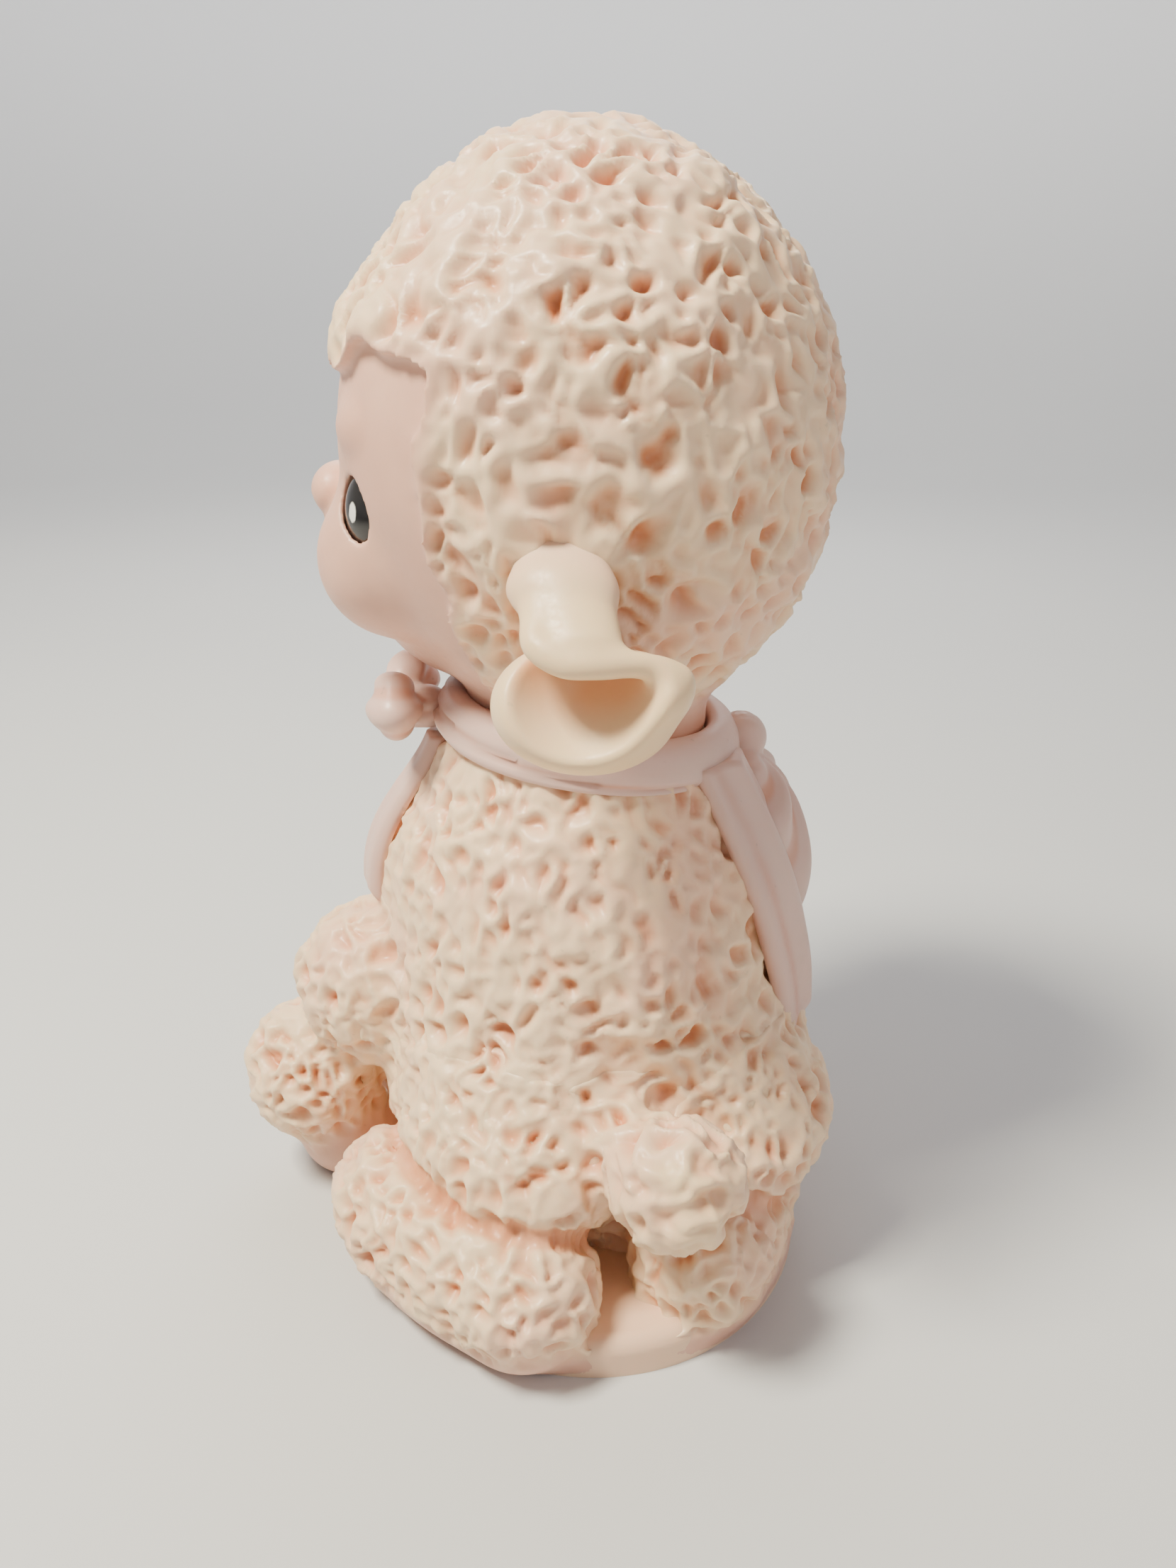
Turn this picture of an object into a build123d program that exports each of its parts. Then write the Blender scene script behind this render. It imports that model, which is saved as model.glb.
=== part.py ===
"""Seated woolly lamb toy in soft vinyl, with a head that turns on its neck plug.

Millimetres. The origin is on the head's turning axis, at the level of the
flat base. The body faces -Y, the lamb's left side is +X and +Z is up.
A bearing is an angle around the turning axis: 0 is the front of the body,
90 is the lamb's left side, 180 the tail side and -90 the right side.
"""
import os
from functools import cache
from math import cos, degrees, pi, radians, sin

from build123d import *

# Vinyl skin and fits
WALL = 2.5
SEAT_GAP = 0.1
TURN_GAP = 0.4
PLUG_PLAY = 0.05

# Flat base plate
PLATE_WIDER = 1.0
PLATE_DEEPER = 7.0
PLATE_THICKNESS = 8.0
PLATE_EDGE_ROUND = 3.0
PLATE_BACK = 11.0
PLATE_SIDE = 5.0
PLATE_FLOOR = 4.0

# Whistle in the base plate
WHISTLE_BACK = 5.0
WHISTLE_RADIUS = 8.0
WHISTLE_METAL = 0.5
WHISTLE_HEIGHT = 4.0
WHISTLE_HOLE_RADIUS = 1.5
WHISTLE_RIM = 2.5
WHISTLE_SUNK = 1.5

# Torso outline: radii, the belly's and the collar's height, and depths below the collar
BELLY_RADIUS = 46.0
BELLY_HEIGHT = 34.0
FOOT_DRAWN_IN = 7.0
CHEST_DRAWN_IN = 5.0
CHEST_DROP = 27.0
COLLAR_RADIUS = 28.0
COLLAR_HEIGHT = 109.0
BREAST_HALF_WIDTH = 31.0
BREAST_HALF_HEIGHT = 28.0
BREAST_REACH = 15.0
BREAST_BEARING = 55.0
BREAST_DROP = 34.0

# Neck plug
PLUG_RADIUS = 18.0
PLUG_LIP = 3.0
PLUG_LIP_THICKNESS = 3.0

# Head
HEAD_TURN = 65.0
NECK_RADIUS = 24.0
NECK_TO_CHEEKS = 54.6
SKULL_RADIUS = 47.5
CROWN_HEIGHT = 55.0
JOWL_DEPTH = 54.0
WOOL_DEPTH = 2.0
WOOL_LOWEST = 36.0
PIT_RADIUS = 4.8
PIT_DEPTH = 2.3
PIT_SPACING = 11.0
FACE_WINDOW_HALF_WIDTH = 36.0
FACE_WINDOW_TOP = 12.0
FACE_WINDOW_BOTTOM = 50.0
CHEEK_RADIUS = 15.0
CHEEK_BEARING = 25.0
CHEEK_SUNK = 11.0
CHEEK_DROP = 19.0
MUZZLE_RADIUS = 12.5
MUZZLE_SUNK = 7.5
MUZZLE_DROP = 17.0
NOSE_RADIUS = 5.0
NOSE_RISE = 7.0
JAW_RADIUS = 15.0
JAW_SUNK = 20.5
JAW_DROP = 29.0

# Eyes
EYE_HALF_WIDTH = 5.0
EYE_HALF_HEIGHT = 6.5
EYE_HALF_DEPTH = 3.5
EYE_BEARING = 35.0
EYE_DROP = 10.0
EYE_SUNK = 5.0

# Ears: an upper petal folded over a cupped lower lobe
EAR_PETAL_HALF_LENGTH = 12.5
EAR_PETAL_HALF_WIDTH = 10.5
EAR_PETAL_HALF_HEIGHT = 9.5
EAR_PETAL_OUT = 0.5
EAR_PETAL_BACK = 3.5
EAR_PETAL_DROP = 23.0
EAR_LOBE_HALF_LENGTH = 13.0
EAR_LOBE_HALF_WIDTH = 15.5
EAR_LOBE_HALF_HEIGHT = 9.5
EAR_LOBE_OUT = 4.5
EAR_LOBE_BACK = 8.0
EAR_LOBE_DROP = 35.0
EAR_TIP_RADIUS = 6.0
EAR_TIP_OUT = 5.5
EAR_TIP_BACK = 20.0
EAR_TIP_DROP = 31.5
EAR_RIM = 3.0
EAR_CUP_OUT = 15.5
EAR_CUP_DROP = 34.5

# Hind legs
THIGH_HALF_LENGTH = 34.0
THIGH_HALF_WIDTH = 23.0
THIGH_SUNK = 25.0
THIGH_BACK = 18.0
THIGH_HEIGHT = 32.0
THIGH_BEARING = 7.0
SHIN_HALF_LENGTH = 34.0
SHIN_RADIUS = 16.8
SHIN_SUNK = 17.0
SHIN_SHIFT = 9.0
SHIN_BACK = 33.0
SHIN_HEIGHT = 14.0
SHIN_BEARING = 30.0
SHIN_FULLNESS = 0.68

# Front legs
CHEST_TWIST = 15.0
SHOULDER_RADIUS = 19.0
SHOULDER_HEIGHT = 50.0
SHOULDER_BEARING = 62.0
FOREFOOT_RADIUS = 17.0
FOREFOOT_REACH = 16.5
FOREFOOT_HEIGHT = 26.0
FOREFOOT_BEARING = 60.0
HOOF_RADIUS = 12.0
HOOF_REACH = 16.0
HOOF_HEIGHT = 10.0

# Tail
TAIL_BALL_RADIUS = 13.0
TAIL_STEM_RADIUS = 10.5
TAIL_REACH = 14.0
TAIL_HEIGHT = 39.5
TAIL_ROOT_BEARING = 160.0
TAIL_BALL_BEARING = 180.0

# Ribbon around the neck
RIBBON_THICKNESS = 2.5
BAND_WIDTH = 8.5
BAND_THICKNESS = 4.0
BAND_EDGE_ROUND = 1.5
BAND_LIFT = 5.75
BAND_TILT = 7.5
BAND_HIGH_BEARING = 74.0

# Bow on the right shoulder, with depths below the collar
SIDE_BOW_BEARING = -104.0
SIDE_LOOP_TURN = 11.0
SIDE_LOOP_HALF_WIDTH = 11.0
SIDE_LOOP_HALF_DEPTH = 8.0
SIDE_LOOP_HALF_DROP = 19.0
SIDE_LOOP_REACH = -1.0
SIDE_LOOP_LEAN = 18.0
SIDE_LOOP_DROP = 23.0
SIDE_KNOT_RADIUS = 6.0
SIDE_KNOT_LIFT = 1.5
SIDE_TAIL_BEARING = -130.0
SIDE_TAIL_DROP = 65.0
SIDE_TAIL_WIDTH = 22.0
SIDE_TAIL_SLANT = 23.0

# Bow under the chin, with depths below the collar
CHIN_BOW_BEARING = 71.0
CHIN_LOOP_TURN = 13.0
CHIN_LOOP_RADIUS = 6.5
CHIN_LOOP_REACH = 6.5
CHIN_KNOT_RADIUS = 5.0
CHIN_TAIL_WIDTH = 15.0
CHIN_TAIL_DROP = 39.0

# Levels and radii that follow from the values above
NECK_FOOT = COLLAR_HEIGHT + TURN_GAP
HEAD_HEIGHT = NECK_FOOT + NECK_TO_CHEEKS
BAND_RADIUS = COLLAR_RADIUS + BAND_THICKNESS
BAND_TOP = COLLAR_HEIGHT + BAND_LIFT
BAND_MIDDLE = BAND_TOP - BAND_WIDTH / 2
TORSO_FOOT_RADIUS = BELLY_RADIUS - FOOT_DRAWN_IN
BEYOND = 2 * HEAD_HEIGHT
QUARTER_PULL = 0.5523
LEFT = 1
RIGHT = -1
STANDING = (Align.CENTER, Align.CENTER, Align.MIN)
HANGING = (Align.CENTER, Align.CENTER, Align.MAX)


def ball(radius, above, below, pull=QUARTER_PULL):
    """A ball of its own height above and below its widest level; a stronger pull makes it fuller."""
    lower = Bezier((0, -below), (pull * radius, -below), (radius, -pull * below), (radius, 0))
    upper = Bezier((radius, 0), (radius, pull * above), (pull * radius, above), (0, above))
    return revolve(Plane.XZ * make_face([lower, upper, Line(upper @ 1, lower @ 0)]), Axis.Z)


def spheroid(half_length, half_width, pull=QUARTER_PULL):
    """A round ball stretched or flattened along Z."""
    return ball(half_width, half_length, half_length, pull)


def ellipsoid(half_x, half_y, half_z):
    """A ball with three different half sizes."""
    return scale(Sphere(1), by=(half_x, half_y, half_z))


def around(bearing, reach, height):
    """A place at a bearing and reach from the turning axis, facing outward along -Y."""
    spot = (reach * sin(radians(bearing)), -reach * cos(radians(bearing)), height)
    return Pos(*spot) * Rot(0, 0, bearing)


def turned(outline_points):
    """A solid of revolution from a closed outline of lines in radius and height."""
    return revolve(Plane.XZ * make_face(Polyline(*outline_points, close=True)), Axis.Z)


def torso_side(grow=0.0):
    """The torso's outline from its foot to its collar, as radius and height."""
    return Spline(
        (TORSO_FOOT_RADIUS + grow, PLATE_THICKNESS),
        (BELLY_RADIUS + grow, BELLY_HEIGHT),
        (BELLY_RADIUS - CHEST_DRAWN_IN + grow, COLLAR_HEIGHT - CHEST_DROP),
        (COLLAR_RADIUS + grow, COLLAR_HEIGHT),
    )


def torso_reach(level):
    """The torso's radius at a level, where other pieces seat on it."""
    side = torso_side()
    low, high = 0.0, 1.0
    while high - low > 1e-6:
        middle = (low + high) / 2
        if (side @ middle).Y < level:
            low = middle
        else:
            high = middle
    return (side @ low).X


@cache
def torso_solid(grow=0.0):
    """The full torso, grown all round, or its hollow when grow is negative."""
    side = torso_side(grow)
    rest = Polyline(side @ 1, (0, COLLAR_HEIGHT), (0, PLATE_THICKNESS), side @ 0)
    trunk = revolve(Plane.XZ * make_face([side, *rest.edges()]), Axis.Z)
    breast = spheroid(BREAST_HALF_HEIGHT + grow, BREAST_HALF_WIDTH + grow)
    return trunk + around(BREAST_BEARING, BREAST_REACH, COLLAR_HEIGHT - BREAST_DROP) * breast


def above_ground(shape, level=0.0):
    """The part of a shape that is above a level."""
    return shape & Pos(0, 0, level) * Box(BEYOND, BEYOND, BEYOND, align=STANDING)


def whistle_place():
    """The whistle's axis in the base plate, at the plate's underside."""
    return Pos(PLATE_SIDE, PLATE_BACK + WHISTLE_BACK, 0)


@cache
def plate_block(grow=0.0):
    """The base plate before the whistle's hole is cut."""
    outline = Ellipse(BELLY_RADIUS + PLATE_WIDER + grow, BELLY_RADIUS + PLATE_DEEPER + grow)
    plate = extrude(outline, PLATE_THICKNESS + grow)
    return Pos(PLATE_SIDE, PLATE_BACK, 0) * fillet(plate.edges().group_by(Axis.Z)[-1], PLATE_EDGE_ROUND)


def base_plate():
    """Smooth flat plate that closes the body and holds the whistle."""
    rim_radius = WHISTLE_RADIUS + WHISTLE_RIM
    rim_height = WHISTLE_SUNK + WHISTLE_METAL
    rim_room = Cylinder(rim_radius, rim_height, align=STANDING)
    bore = Cylinder(WHISTLE_RADIUS, PLATE_THICKNESS, align=STANDING)
    well = Cylinder(TORSO_FOOT_RADIUS - WALL, PLATE_THICKNESS, align=STANDING)
    plate = plate_block() - Pos(0, 0, PLATE_FLOOR) * well
    return plate - whistle_place() * (rim_room + bore)


def whistle_cup():
    """Stamped metal cup with an outer rim that seats in the plate."""
    outer = WHISTLE_RADIUS
    inner = outer - WHISTLE_METAL
    rim = outer + WHISTLE_RIM
    low = WHISTLE_SUNK
    seat = low + WHISTLE_METAL
    top = seat + WHISTLE_HEIGHT
    hole = WHISTLE_HOLE_RADIUS
    outline = [
        (inner, low), (rim, low), (rim, seat), (outer, seat), (outer, top),
        (hole, top), (hole, top - WHISTLE_METAL), (inner, top - WHISTLE_METAL),
    ]
    return whistle_place() * turned(outline)


def whistle_cap():
    """Stamped metal disc with a sounding hole, pressed into the cup's mouth."""
    outer = WHISTLE_RADIUS - WHISTLE_METAL
    low = WHISTLE_SUNK
    top = low + WHISTLE_METAL
    outline = [(WHISTLE_HOLE_RADIUS, low), (outer, low), (outer, top), (WHISTLE_HOLE_RADIUS, top)]
    return whistle_place() * turned(outline)


def torso_shell():
    """Hollow torso with a collar at the top that the neck plug turns in."""
    roof = COLLAR_HEIGHT - WALL
    hollow = torso_solid(-WALL) & Pos(0, 0, roof) * Box(BEYOND, BEYOND, BEYOND, align=HANGING)
    neck_hole = Pos(0, 0, COLLAR_HEIGHT) * Cylinder(PLUG_RADIUS + PLUG_PLAY, 4 * WALL)
    return torso_solid() - hollow - neck_hole


def lying(side):
    """Lays a ball's long axis level, with its seam towards the torso."""
    return Rot(90, 0, 180 if side == LEFT else 0)


def thigh(side, grow=0.0):
    """The haunch of one hind leg, grown all round, or its hollow."""
    place = Pos(side * (BELLY_RADIUS - THIGH_SUNK), THIGH_BACK, THIGH_HEIGHT) * Rot(0, 0, side * THIGH_BEARING)
    return place * lying(side) * spheroid(THIGH_HALF_LENGTH + grow, THIGH_HALF_WIDTH + grow)


def shin(side, grow=0.0):
    """The folded lower part of one hind leg, lying on the ground, or its hollow."""
    spread = SHIN_SHIFT + side * (BELLY_RADIUS - SHIN_SUNK)
    place = Pos(spread, SHIN_BACK, SHIN_HEIGHT) * Rot(0, 0, side * SHIN_BEARING)
    roll = place * lying(side) * spheroid(SHIN_HALF_LENGTH + grow, SHIN_RADIUS + grow, SHIN_FULLNESS)
    return above_ground(roll, -grow)


def hind_leg(side):
    """One hollow hind leg, seated on the torso and the base plate."""
    leg = thigh(side) + shin(side) - thigh(side, -WALL) - shin(side, -WALL)
    if side == RIGHT:
        leg = leg - thigh(LEFT, SEAT_GAP) - shin(LEFT, SEAT_GAP)
    return leg - torso_solid(SEAT_GAP) - plate_block(SEAT_GAP)


def front_leg_solid(side, grow=0.0):
    """One front leg with its hoof, grown all round, or its hollow."""
    shoulder_bearing = CHEST_TWIST + side * SHOULDER_BEARING
    foot_bearing = CHEST_TWIST + side * FOREFOOT_BEARING
    shoulder = around(shoulder_bearing, torso_reach(SHOULDER_HEIGHT), SHOULDER_HEIGHT)
    forefoot = around(foot_bearing, torso_reach(FOREFOOT_HEIGHT) + FOREFOOT_REACH, FOREFOOT_HEIGHT)
    hoof = around(foot_bearing, torso_reach(HOOF_HEIGHT) + HOOF_REACH, HOOF_HEIGHT)
    leg = shoulder * Sphere(SHOULDER_RADIUS + grow)
    leg += forefoot * Sphere(FOREFOOT_RADIUS + grow)
    leg += hoof * Sphere(HOOF_RADIUS + grow)
    return above_ground(leg, -grow)


def front_leg(side):
    """One hollow front leg, standing beside the belly."""
    room = torso_solid(SEAT_GAP) + plate_block(SEAT_GAP) + thigh(side, SEAT_GAP) + shin(side, SEAT_GAP)
    return front_leg_solid(side) - room - front_leg_solid(side, -WALL)


def tail():
    """Short tail with a woolly ball end, bent to the lamb's right."""
    skin_reach = torso_reach(TAIL_HEIGHT)
    root = around(TAIL_ROOT_BEARING, skin_reach - TAIL_STEM_RADIUS, TAIL_HEIGHT).position
    tip = around(TAIL_BALL_BEARING, skin_reach + TAIL_REACH, TAIL_HEIGHT).position
    stem = extrude(Plane(origin=root, z_dir=tip - root) * Circle(TAIL_STEM_RADIUS), (tip - root).length)
    shape = Pos(*tip) * Sphere(TAIL_BALL_RADIUS) + stem
    for side in (LEFT, RIGHT):
        shape = shape - thigh(side, SEAT_GAP) - shin(side, SEAT_GAP)
    return shape - torso_solid(SEAT_GAP)


@cache
def band_block(grow=0.0):
    """The ribbon band as a full tilted disc, before the neck's room is cut."""
    disc = Cylinder(BAND_RADIUS + grow, BAND_WIDTH + 2 * grow)
    disc = fillet(disc.edges(), BAND_EDGE_ROUND)
    tilt = Rot(0, 0, BAND_HIGH_BEARING) * Rot(-BAND_TILT, 0, 0)
    return Pos(0, 0, BAND_MIDDLE) * tilt * disc


def band_level(bearing):
    """The height of the tilted band's middle at a bearing."""
    return BAND_MIDDLE + BAND_RADIUS * sin(radians(BAND_TILT)) * cos(radians(bearing - BAND_HIGH_BEARING))


def ribbon_band():
    """Ribbon that wraps the collar and hides the neck joint."""
    neck_room = Cylinder(BAND_RADIUS - BAND_THICKNESS, 2 * COLLAR_HEIGHT, align=STANDING)
    return band_block() - neck_room - torso_solid(SEAT_GAP)


def ribbon_tail(bearing, outline_points):
    """A length of ribbon that lies on the torso under its bow."""
    sheet = torso_solid(RIBBON_THICKNESS) - torso_solid(SEAT_GAP)
    outline = make_face(Polyline(*outline_points, close=True))
    cutter = extrude(Plane.XZ * outline, 2 * BELLY_RADIUS)
    return (sheet & Rot(0, 0, bearing) * cutter) - band_block(SEAT_GAP)


def side_bow_solid(grow=0.0):
    """The shoulder bow's knot and its two loops, grown all round."""
    level = COLLAR_HEIGHT - SIDE_LOOP_DROP
    reach = torso_reach(level) + SIDE_LOOP_REACH
    lean = Rot(-SIDE_LOOP_LEAN, 0, 0) * Rot(0, 0, 90)
    knot = around(SIDE_BOW_BEARING, reach, level) * lean * Pos(0, 0, SIDE_LOOP_HALF_DROP + SIDE_KNOT_LIFT)
    bow = knot * Rot(0, 0, 180) * Sphere(SIDE_KNOT_RADIUS + grow)
    half_sizes = (SIDE_LOOP_HALF_DEPTH + grow, SIDE_LOOP_HALF_WIDTH + grow, SIDE_LOOP_HALF_DROP + grow)
    for turn in (-SIDE_LOOP_TURN, SIDE_LOOP_TURN):
        bow += around(SIDE_BOW_BEARING + turn, reach, level) * lean * ellipsoid(*half_sizes)
    return bow


def side_bow():
    """Shoulder bow that droops on the torso."""
    return side_bow_solid() - torso_solid(SEAT_GAP) - band_block(SEAT_GAP)


def side_bow_tail():
    """Wide ribbon end that runs down from the shoulder bow towards the front."""
    top = COLLAR_HEIGHT - RIBBON_THICKNESS
    low = COLLAR_HEIGHT - SIDE_TAIL_DROP
    half = SIDE_TAIL_WIDTH / 2
    shift = SIDE_TAIL_SLANT / 2
    outline = [(-half - shift / 2, top), (half - shift / 2, top), (half + shift, low), (-half + shift, low)]
    ribbon = ribbon_tail(SIDE_TAIL_BEARING, outline)
    return ribbon - side_bow_solid(SEAT_GAP) - thigh(RIGHT, SEAT_GAP)


def chin_bow_solid(grow=0.0):
    """The chin bow's knot and its two round loops, grown all round."""
    reach = BAND_RADIUS + CHIN_LOOP_REACH
    level = band_level(CHIN_BOW_BEARING)
    facing = Rot(0, 0, -90)
    bow = around(CHIN_BOW_BEARING, reach, level) * facing * Sphere(CHIN_KNOT_RADIUS + grow)
    for turn in (-CHIN_LOOP_TURN, CHIN_LOOP_TURN):
        bow += around(CHIN_BOW_BEARING + turn, reach, level) * facing * Sphere(CHIN_LOOP_RADIUS + grow)
    return bow


def chin_bow():
    """Small bow under the chin, on the band's high side."""
    return chin_bow_solid() - torso_solid(SEAT_GAP) - band_block(SEAT_GAP)


def chin_bow_tail():
    """Ribbon end that hangs on the chest below the chin bow."""
    top = COLLAR_HEIGHT - RIBBON_THICKNESS
    half = CHIN_TAIL_WIDTH / 2
    low = COLLAR_HEIGHT - CHIN_TAIL_DROP
    outline = [(-half, top), (half, top), (half, low), (-half, low)]
    return ribbon_tail(CHIN_BOW_BEARING, outline) - chin_bow_solid(SEAT_GAP) - front_leg_solid(LEFT, SEAT_GAP)


def egg(grow=0.0):
    """The head's egg form at the wool's outside, grown all round, widest at level 0."""
    return ball(SKULL_RADIUS + grow, CROWN_HEIGHT + grow, JOWL_DEPTH + grow)


@cache
def skull_solid(grow=0.0):
    """The head's full outside: wool cap, smooth face and neck, facing the front."""
    window_middle = (FACE_WINDOW_TOP - FACE_WINDOW_BOTTOM) / 2
    window_half = (FACE_WINDOW_TOP + FACE_WINDOW_BOTTOM) / 2
    window = extrude(Plane.XZ * Ellipse(FACE_WINDOW_HALF_WIDTH, window_half), 2 * SKULL_RADIUS)
    head = egg(grow - WOOL_DEPTH) + (egg(grow) - Pos(0, 0, window_middle) * window)
    for side in (LEFT, RIGHT):
        cheek = around(side * CHEEK_BEARING, SKULL_RADIUS - CHEEK_SUNK, -CHEEK_DROP)
        head += cheek * Sphere(CHEEK_RADIUS + grow)
    muzzle_reach = SKULL_RADIUS - MUZZLE_SUNK
    nose_reach = muzzle_reach + MUZZLE_RADIUS - NOSE_RADIUS / 2
    head += Pos(0, -muzzle_reach, -MUZZLE_DROP) * Sphere(MUZZLE_RADIUS + grow)
    head += Pos(0, -nose_reach, NOSE_RISE - MUZZLE_DROP) * Sphere(NOSE_RADIUS + grow)
    head += Pos(0, JAW_SUNK - SKULL_RADIUS, -JAW_DROP) * Sphere(JAW_RADIUS + grow)
    neck = Cylinder(NECK_RADIUS + grow, HEAD_HEIGHT - NECK_FOOT, align=HANGING)
    return Pos(0, 0, HEAD_HEIGHT) * (head + neck)


def neck_plug():
    """Round plug with a lip that is held under the collar."""
    top = NECK_FOOT
    lip_top = COLLAR_HEIGHT - WALL - TURN_GAP
    lip_low = lip_top - PLUG_LIP_THICKNESS
    lip_radius = PLUG_RADIUS + PLUG_LIP
    outline = [
        (0, top), (PLUG_RADIUS, top), (PLUG_RADIUS, lip_top),
        (lip_radius, lip_top), (PLUG_RADIUS, lip_low), (0, lip_low),
    ]
    return turned(outline)


def eye(side, grow=0.0):
    """Glossy oval eye, seated in the face, with the head facing the front."""
    place = around(side * EYE_BEARING, SKULL_RADIUS - EYE_SUNK, HEAD_HEIGHT - EYE_DROP)
    return place * ellipsoid(EYE_HALF_WIDTH + grow, EYE_HALF_DEPTH + grow, EYE_HALF_HEIGHT + grow)


def on_face(across, height):
    """Tells whether a wool pit at this place would reach into the smooth face."""
    window_middle = (FACE_WINDOW_TOP - FACE_WINDOW_BOTTOM) / 2
    window_half = (FACE_WINDOW_TOP + FACE_WINDOW_BOTTOM) / 2
    side = across / (FACE_WINDOW_HALF_WIDTH + PIT_RADIUS)
    rise = (height - window_middle) / (window_half + PIT_RADIUS)
    return side * side + rise * rise < 1


def wool_pits():
    """The main pits of the head's wool, in rows around the crown, clear of the face and ears."""
    pits = []
    ear_root = Vector(SKULL_RADIUS, EAR_PETAL_BACK, -EAR_PETAL_DROP)
    ear_room = EAR_LOBE_HALF_WIDTH + PIT_RADIUS
    for row in range(1, int(pi * SKULL_RADIUS / PIT_SPACING)):
        slant = row * PIT_SPACING / SKULL_RADIUS
        around_row = max(3, round(2 * pi * SKULL_RADIUS * sin(slant) / PIT_SPACING))
        tall = CROWN_HEIGHT if cos(slant) > 0 else JOWL_DEPTH
        reach, height = SKULL_RADIUS * sin(slant), tall * cos(slant)
        out = 1 + (PIT_RADIUS - PIT_DEPTH) / SKULL_RADIUS
        for number in range(around_row):
            bearing = 360 * (number + row % 2 / 2) / around_row
            place = around(bearing, reach * out, HEAD_HEIGHT + height * out)
            spot = Vector(abs(place.position.X), place.position.Y, height)
            hidden = spot.Y < 0 and on_face(spot.X, height)
            if height > -WOOL_LOWEST and not hidden and (spot - ear_root).length > ear_room:
                outward = Rot(degrees(slant) - 90, 0, 0) * Rot(0, 0, -90)
                pits.append(place * outward * Sphere(PIT_RADIUS))
    return pits


def head_shell():
    """Hollow head with its neck and plug, its wool pits and a seat for each eye."""
    hollow = Pos(0, 0, HEAD_HEIGHT) * egg(-WOOL_DEPTH - WALL)
    bore = Cylinder(PLUG_RADIUS - WALL, HEAD_HEIGHT, align=STANDING)
    shell = skull_solid() + neck_plug() - hollow - bore - wool_pits()
    for side in (LEFT, RIGHT):
        shell -= eye(side, SEAT_GAP)
    return shell


def ear_place(out, back, drop):
    """A place on the right ear, measured from the widest point of the skull."""
    return Pos(-SKULL_RADIUS - out, back, HEAD_HEIGHT - drop)


def right_ear():
    """Drooping ear on the right side, open to the outside, with the head facing the front."""
    petal = ellipsoid(EAR_PETAL_HALF_LENGTH, EAR_PETAL_HALF_WIDTH, EAR_PETAL_HALF_HEIGHT)
    lobe = ellipsoid(EAR_LOBE_HALF_LENGTH, EAR_LOBE_HALF_WIDTH, EAR_LOBE_HALF_HEIGHT)
    cup = ellipsoid(EAR_LOBE_HALF_LENGTH, EAR_LOBE_HALF_WIDTH - EAR_RIM, EAR_LOBE_HALF_HEIGHT - EAR_RIM)
    ear = ear_place(EAR_PETAL_OUT, EAR_PETAL_BACK, EAR_PETAL_DROP) * petal
    ear += ear_place(EAR_LOBE_OUT, EAR_LOBE_BACK, EAR_LOBE_DROP) * lobe
    ear += ear_place(EAR_TIP_OUT, EAR_TIP_BACK, EAR_TIP_DROP) * Sphere(EAR_TIP_RADIUS)
    ear -= ear_place(EAR_CUP_OUT, EAR_LOBE_BACK, EAR_CUP_DROP) * cup
    return ear - skull_solid(SEAT_GAP)


def left_ear():
    """The other ear, a mirror image."""
    return mirror(right_ear(), about=Plane.YZ)


def head_piece(shape):
    """A piece of the head, turned with it to the way the lamb looks."""
    return Rot(0, 0, HEAD_TURN) * shape


PIECES = {
    "base_plate": base_plate(),
    "whistle_cup": whistle_cup(),
    "whistle_cap": whistle_cap(),
    "torso_shell": torso_shell(),
    "left_hind_leg": hind_leg(LEFT),
    "right_hind_leg": hind_leg(RIGHT),
    "left_front_leg": front_leg(LEFT),
    "right_front_leg": front_leg(RIGHT),
    "tail": tail(),
    "ribbon_band": ribbon_band(),
    "side_bow": side_bow(),
    "side_bow_tail": side_bow_tail(),
    "chin_bow": chin_bow(),
    "chin_bow_tail": chin_bow_tail(),
    "head_shell": head_piece(head_shell()),
    "left_ear": head_piece(left_ear()),
    "right_ear": head_piece(right_ear()),
    "left_eye": head_piece(eye(LEFT)),
    "right_eye": head_piece(eye(RIGHT)),
}

os.makedirs("parts", exist_ok=True)
for name, piece in PIECES.items():
    export_step(piece, f"parts/{name}.step")
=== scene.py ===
"""Seated woolly lamb toy in soft vinyl: the visual model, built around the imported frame.

Lengths are in millimetres until a mesh is made. +Z is up, the body faces -Y and the
lamb's left side is +X. A bearing is an angle around the upright axis: 0 is the front
of the body, 90 the lamb's left side, 180 the tail side and -90 the right side.
"""
import logging
import math
from dataclasses import dataclass, field
from enum import Enum
from itertools import product
from typing import Callable, Iterable

import bpy
import numpy as np
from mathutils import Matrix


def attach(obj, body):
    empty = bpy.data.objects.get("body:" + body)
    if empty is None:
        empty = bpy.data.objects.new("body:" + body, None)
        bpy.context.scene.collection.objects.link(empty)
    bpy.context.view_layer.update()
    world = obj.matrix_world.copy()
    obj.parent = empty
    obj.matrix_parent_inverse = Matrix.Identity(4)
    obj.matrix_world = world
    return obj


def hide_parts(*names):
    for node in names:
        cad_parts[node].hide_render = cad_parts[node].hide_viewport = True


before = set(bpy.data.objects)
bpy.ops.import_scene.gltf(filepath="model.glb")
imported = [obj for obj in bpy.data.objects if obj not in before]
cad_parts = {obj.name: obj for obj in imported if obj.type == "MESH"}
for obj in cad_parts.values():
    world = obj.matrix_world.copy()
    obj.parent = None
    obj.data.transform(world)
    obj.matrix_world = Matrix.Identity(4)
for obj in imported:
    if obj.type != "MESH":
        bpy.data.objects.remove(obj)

# One millimetre in metres, the lowest level of a woolly skin, the face sizes of the skins, and how
# much larger the faces of the torso and the head are
MM = 0.001
GROUND = 0.3
FINE_STEP = 0.65
TORSO_STEP = 1.19
HEAD_STEP = 1.12

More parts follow.
